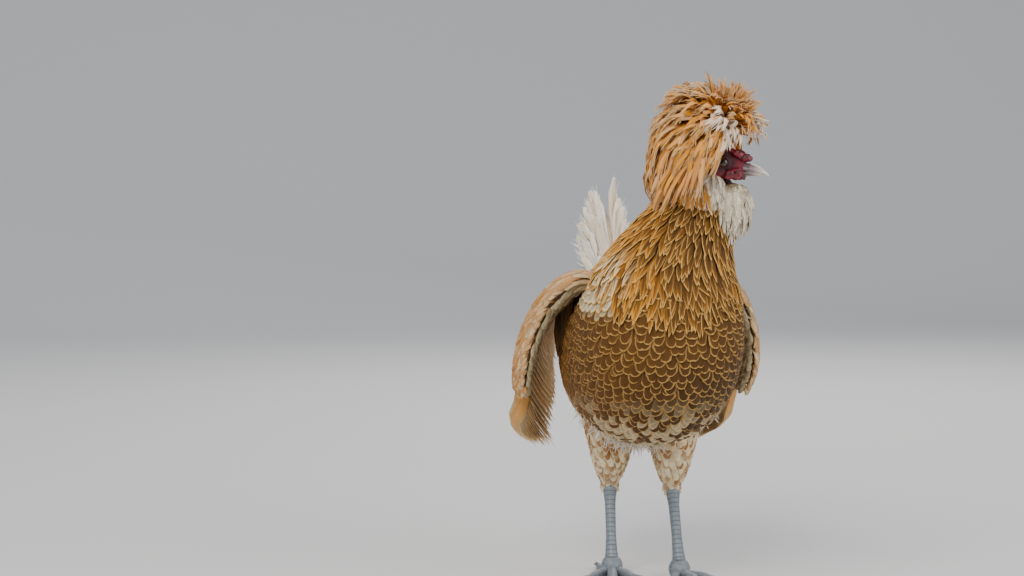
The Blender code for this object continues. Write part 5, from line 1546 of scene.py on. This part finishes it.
def reach_attribute(obj, shares):
    """How far along a horn each vertex lies, from 0 at its root to 1 at its tip."""
    layer = obj.data.attributes.new("reach", "FLOAT", "POINT")
    layer.data.foreach_set("value", np.clip(shares, 0, 1).astype(np.float32))


def horn_paint(name, root, tip, roughness):
    paint = Paint(name, Roughness=roughness, Coat_Weight=0.15)
    reach = paint.attribute("reach")
    grain = paint.noise(1.0, 3.0, paint.vector(reach * 3.0, paint.noise(600.0, 1.0) * 4.0))
    ground = paint.mix(reach.above(0.15, 0.95), root, tip)
    shade = 0.78 + grain * 0.40
    paint.colour(paint.mix(1.0, ground, paint.vector(shade, shade, shade), "MULTIPLY"))
    paint.bump(grain + paint.noise(1400.0, 2.0) * 0.4, 0.00015, 0.6)
    return paint


bill_paint = horn_paint("bill_horn_grain", srgb(112, 92, 92), srgb(218, 198, 182), 0.36)


def bill_half(name, rows, low, upwards, node):
    forward, drop, half, height = spline_rows(rows, np.linspace(0, len(rows) - 1, 60))[:, :, None].transpose(1, 0, 2)
    turn = np.linspace(0, 2 * math.pi, 41)[:-1]
    c, s = np.cos(turn), np.sin(turn)
    arch = np.where(s > 0, np.abs(s) ** 0.85, 0.16 * np.abs(s))
    across = half * np.sign(c) * np.abs(c) ** 0.9
    made = loft_object(name, at_head(BILL_BASE + forward, across, low + drop + upwards * height * arch))
    if upwards > 0:
        for side in (-1, 1):
            place = np.array((BILL_BASE, 0, MOUTH_UP)) + NOSTRIL * (1, side, 1)
            hole = ball("nostril", place, NOSTRIL_RADII, 3)
            apply_modifier(made, "BOOLEAN", operation="DIFFERENCE", object=hole, solver="EXACT")
            bpy.data.objects.remove(hole)
    along = head_places(vertex_array(made))[:, 0] - BILL_BASE
    reach_attribute(made, along / rows[-1, 0])
    made.data.shade_smooth()
    made.data.materials.clear()
    made.data.materials.append(bill_paint.material)
    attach(made, "root")
    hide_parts(node)
    print(name, len(made.data.polygons), "faces")


bill_half("upper_bill_horn", UPPER_BILL, MOUTH_UP, 1, "upper_bill")
bill_half("lower_bill_horn", LOWER_BILL, MOUTH_UP - MOUTH_GAP, -1, "lower_bill")

# %% [markdown]
# The eye is a wet ball with a slightly bulging front. Its poles lie on the line of sight, so the pupil and the iris are
# rings round the pole.

# %% Eyes
PUPIL, IRIS = 0.40, 0.92
eye_paint = Paint("eye_wet", Roughness=0.12, Coat_Weight=0.5)
gaze = eye_paint.attribute("gaze")
threads = eye_paint.noise(900.0, 3.0)
# The iris is brown made dark, as painted shade from the crest over the eye.
shaded_iris = eye_paint.mix(threads, srgb(48, 24, 10), srgb(96, 50, 18))
ringed_eye = eye_paint.mix(gaze.above(IRIS - 0.10, IRIS), shaded_iris, srgb(28, 14, 10))
eye_paint.colour(eye_paint.mix(gaze.above(PUPIL + 0.03, PUPIL - 0.03), ringed_eye, (0.004, 0.004, 0.004)))
for side, label in ((1, "left"), (-1, "right")):
    eye = primitive(bpy.ops.mesh.primitive_uv_sphere_add, f"eye_{label}_wet", segments=48, ring_count=36, radius=1.0)
    points = vertex_array(eye)
    angles = np.arccos(np.clip(points[:, 2], -1, 1))
    sight = unit(LEFT * side + FORWARD * 0.25)
    first = unit(np.cross(UP, sight))
    axes = np.stack([first, np.cross(sight, first), sight])
    swell = 1 + 0.03 * smooth_step(0.75, 0.25, angles)
    placed = at_head(EYE_FORWARD, side * EYE_SIDE, EYE_UP) + SHIFT + (points @ axes) * (EYE_RADIUS * swell)[:, None]
    eye.data.vertices.foreach_set("co", placed.astype(np.float32).ravel())
    layer = eye.data.attributes.new("gaze", "FLOAT", "POINT")
    layer.data.foreach_set("value", angles.astype(np.float32))
    eye.data.shade_smooth()
    eye.data.materials.append(eye_paint.material)
    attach(eye, "root")
    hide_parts(f"eye_{label}")

# %% [markdown]
# Below the hock the leg is bare and scaled. Broad scutes lie one below the other down the front of the shank and along
# the top of each toe, and small round scales cover the rest. They are raised in the surface itself.

# %% Legs and feet
SHANK_SHARES = (0.0, 0.12, 0.3, 0.7, 0.9, 1.0)
SHANK_RADII = (0.0064, 0.0062, 0.0048, 0.0045, 0.0052, 0.0060)
SCUTE_RISE, PEBBLE_RISE = 0.00034, 0.00020
# turn outwards from straight ahead, length, radius at the root, claw length
TOES = {
    "middle": (0.06, 0.050, 0.0050, 0.0115),
    "outer": (0.62, 0.040, 0.0044, 0.0100),
    "inner": (-0.52, 0.036, 0.0046, 0.0105),
    "hind": (math.pi - 0.25, 0.019, 0.0040, 0.0095),
}
TOE_OUT = 0.12
PAD_UP = 0.0078
PAD_RADII = np.array((0.0095, 0.0115, 0.0098))
SOLE = 0.0002

scale_paint_leg = Paint("slate_scutes", Roughness=0.48, Coat_Weight=0.1)
relief = scale_paint_leg.attribute("relief")
dust = scale_paint_leg.noise(220.0, 3.0)
ground = scale_paint_leg.mix(dust, srgb(92, 102, 112), srgb(140, 146, 148))
scale_paint_leg.colour(scale_paint_leg.mix(relief.above(0.45, 0.05) * 0.75, ground, srgb(52, 54, 58)))
scale_paint_leg.bump(dust + scale_paint_leg.noise(1500.0, 2.0) * 0.5, 0.0002, 0.5)
claw_paint = horn_paint("claw_horn_grain", srgb(84, 76, 72), srgb(176, 160, 144), 0.4)


def scaled_tube(centres, radii, side_way, over_way, front, pitch, flat=1.0):
    """Rings of a limb with scutes on the side that front points to, and their relief from 0 to 1."""
    run = np.concatenate([[0], np.cumsum(np.linalg.norm(np.diff(centres, axis=0), axis=1))])
    turn = np.linspace(0, 2 * math.pi, 49)[:-1]
    saw = (run / pitch) % 1.0
    scute = np.sqrt(saw) * (1 - smooth_step(0.84, 1.0, saw))
    facing = smooth_step(0.25, 0.45, np.cos(turn - front))
    edge = smooth_step(0.06, 0.16, np.abs(np.cos(turn - front) - 0.35))
    row = np.floor(run / (pitch * 0.55))
    pebble = np.abs(np.sin(math.pi * run / (pitch * 0.55)))[:, None] * np.abs(np.sin(turn[None, :] * 6 + row[:, None] * 1.57))
    height = scute[:, None] * facing[None, :] * edge[None, :]
    small = np.sqrt(pebble) * (1 - facing)[None, :]
    radius = radii[:, None] - 0.0002 + SCUTE_RISE * height + PEBBLE_RISE * small
    ring = centres[:, None] + side_way * (np.cos(turn) * radius)[..., None] + over_way * (np.sin(turn) * radius * flat)[..., None]
    return ring, np.maximum(height, small)


def limb_piece(name, tubes, paint, node, attribute):
    """One piece of several closed tubes. Each vertex keeps its value in the attribute."""
    parts, values = [], []
    for rings, value in tubes:
        rings = rings.copy()
        rings[..., 2] = np.maximum(rings[..., 2], SOLE)
        parts.append(loft_object("limb", rings))
        values.append(np.asarray(value).ravel())
    made = joined(name, parts)
    layer = made.data.attributes.new(attribute, "FLOAT", "POINT")
    layer.data.foreach_set("value", np.clip(np.concatenate(values), 0, 1).astype(np.float32))
    made.data.shade_smooth()
    made.data.materials.clear()
    made.data.materials.append(paint.material)
    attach(made, "root")
    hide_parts(node)
    print(name, len(made.data.polygons), "faces")


def rounded_ends(radii, share):
    """Closes both ends of a tube like a ball."""
    ends = np.minimum(share, 1 - share) / 0.06
    return radii * np.sqrt(np.clip(1 - (1 - np.clip(ends, 0, 1)) ** 2, 0.004, 1))


for label, thigh in thighs.items():
    share = np.linspace(-0.03, 1.0, 300)
    centres = thigh.hock + (thigh.ankle - thigh.hock) * share[:, None]
    ahead = unit(thigh.ankle - thigh.hock)
    side_way = unit(np.cross(ahead, (0, 1, 0)))
    over_way = np.cross(side_way, ahead)
    front = -math.pi / 2
    radii = np.interp(share, SHANK_SHARES, SHANK_RADII)
    rings, relief_values = scaled_tube(centres, radii, side_way, over_way, front, 0.0040, 1.15)
    limb_piece(f"shank_{label}_scutes", [(rings, relief_values)], scale_paint_leg, f"shank_{label}", "relief")

    pad = np.array((thigh.ankle[0], thigh.ankle[1] - 0.002, PAD_UP))
    polar = np.linspace(0.02, math.pi - 0.02, 40)
    centres = pad - Z * (np.cos(polar) * PAD_RADII[2])[:, None]
    rings, relief_values = scaled_tube(
        centres, np.sin(polar) * PAD_RADII[0], np.array((1.0, 0, 0)), np.array((0, 1.0, 0)), front, 0.0030, 1.2
    )
    tubes = [(rings, relief_values)]
    for toe, (turn, length, root, claw) in TOES.items():
        way = thigh.side * (turn + (TOE_OUT if toe != "hind" else 0.0))
        ahead = np.array((math.sin(way), -math.cos(way), 0.0))
        side_way = np.cross(ahead, Z)
        share = np.linspace(0, 1, 150)
        radii = root * (1 - 0.32 * share) * (1 + 0.08 * np.cos(4 * math.pi * share))
        centres = pad + ahead * (0.001 + (length + 0.008) * share)[:, None]
        centres[:, 2] = radii * 0.86 + 0.0022 * (1 - share) ** 2
        tubes.append(scaled_tube(centres, rounded_ends(radii, share), side_way, Z, math.pi / 2, 0.0026))
        end, radius = centres[-1], radii[-1]
        bend = np.linspace(0, 1, 40)
        path = end + ahead * (0.0004 - 0.0012 + (claw + 0.0012) * bend)[:, None]
        path[:, 2] += 0.0012 * np.sin(math.pi * bend) - (end[2] - 0.0016) * bend**2
        thick = radius * 0.86 * np.interp(bend, (0, 0.12, 0.34, 0.56, 0.78, 0.97, 1), (1.0, 0.97, 0.86, 0.66, 0.42, 0.14, 0.03))
        around = np.linspace(0, 2 * math.pi, 25)[:-1]
        flatten = np.where(np.sin(around) < 0, 0.75, 1.0)
        ring = path[:, None] + side_way * (thick[:, None] * np.cos(around) * 0.85)[..., None]
        ring = ring + Z * (thick[:, None] * np.sin(around) * flatten)[..., None]
        values = np.broadcast_to(bend[:, None], ring.shape[:2])
        limb_piece(f"claw_{label}_{toe}_horn", [(ring, values)], claw_paint, f"claw_{label}_{toe}", "reach")
    limb_piece(f"foot_{label}_scutes", tubes, scale_paint_leg, f"foot_{label}", "relief")
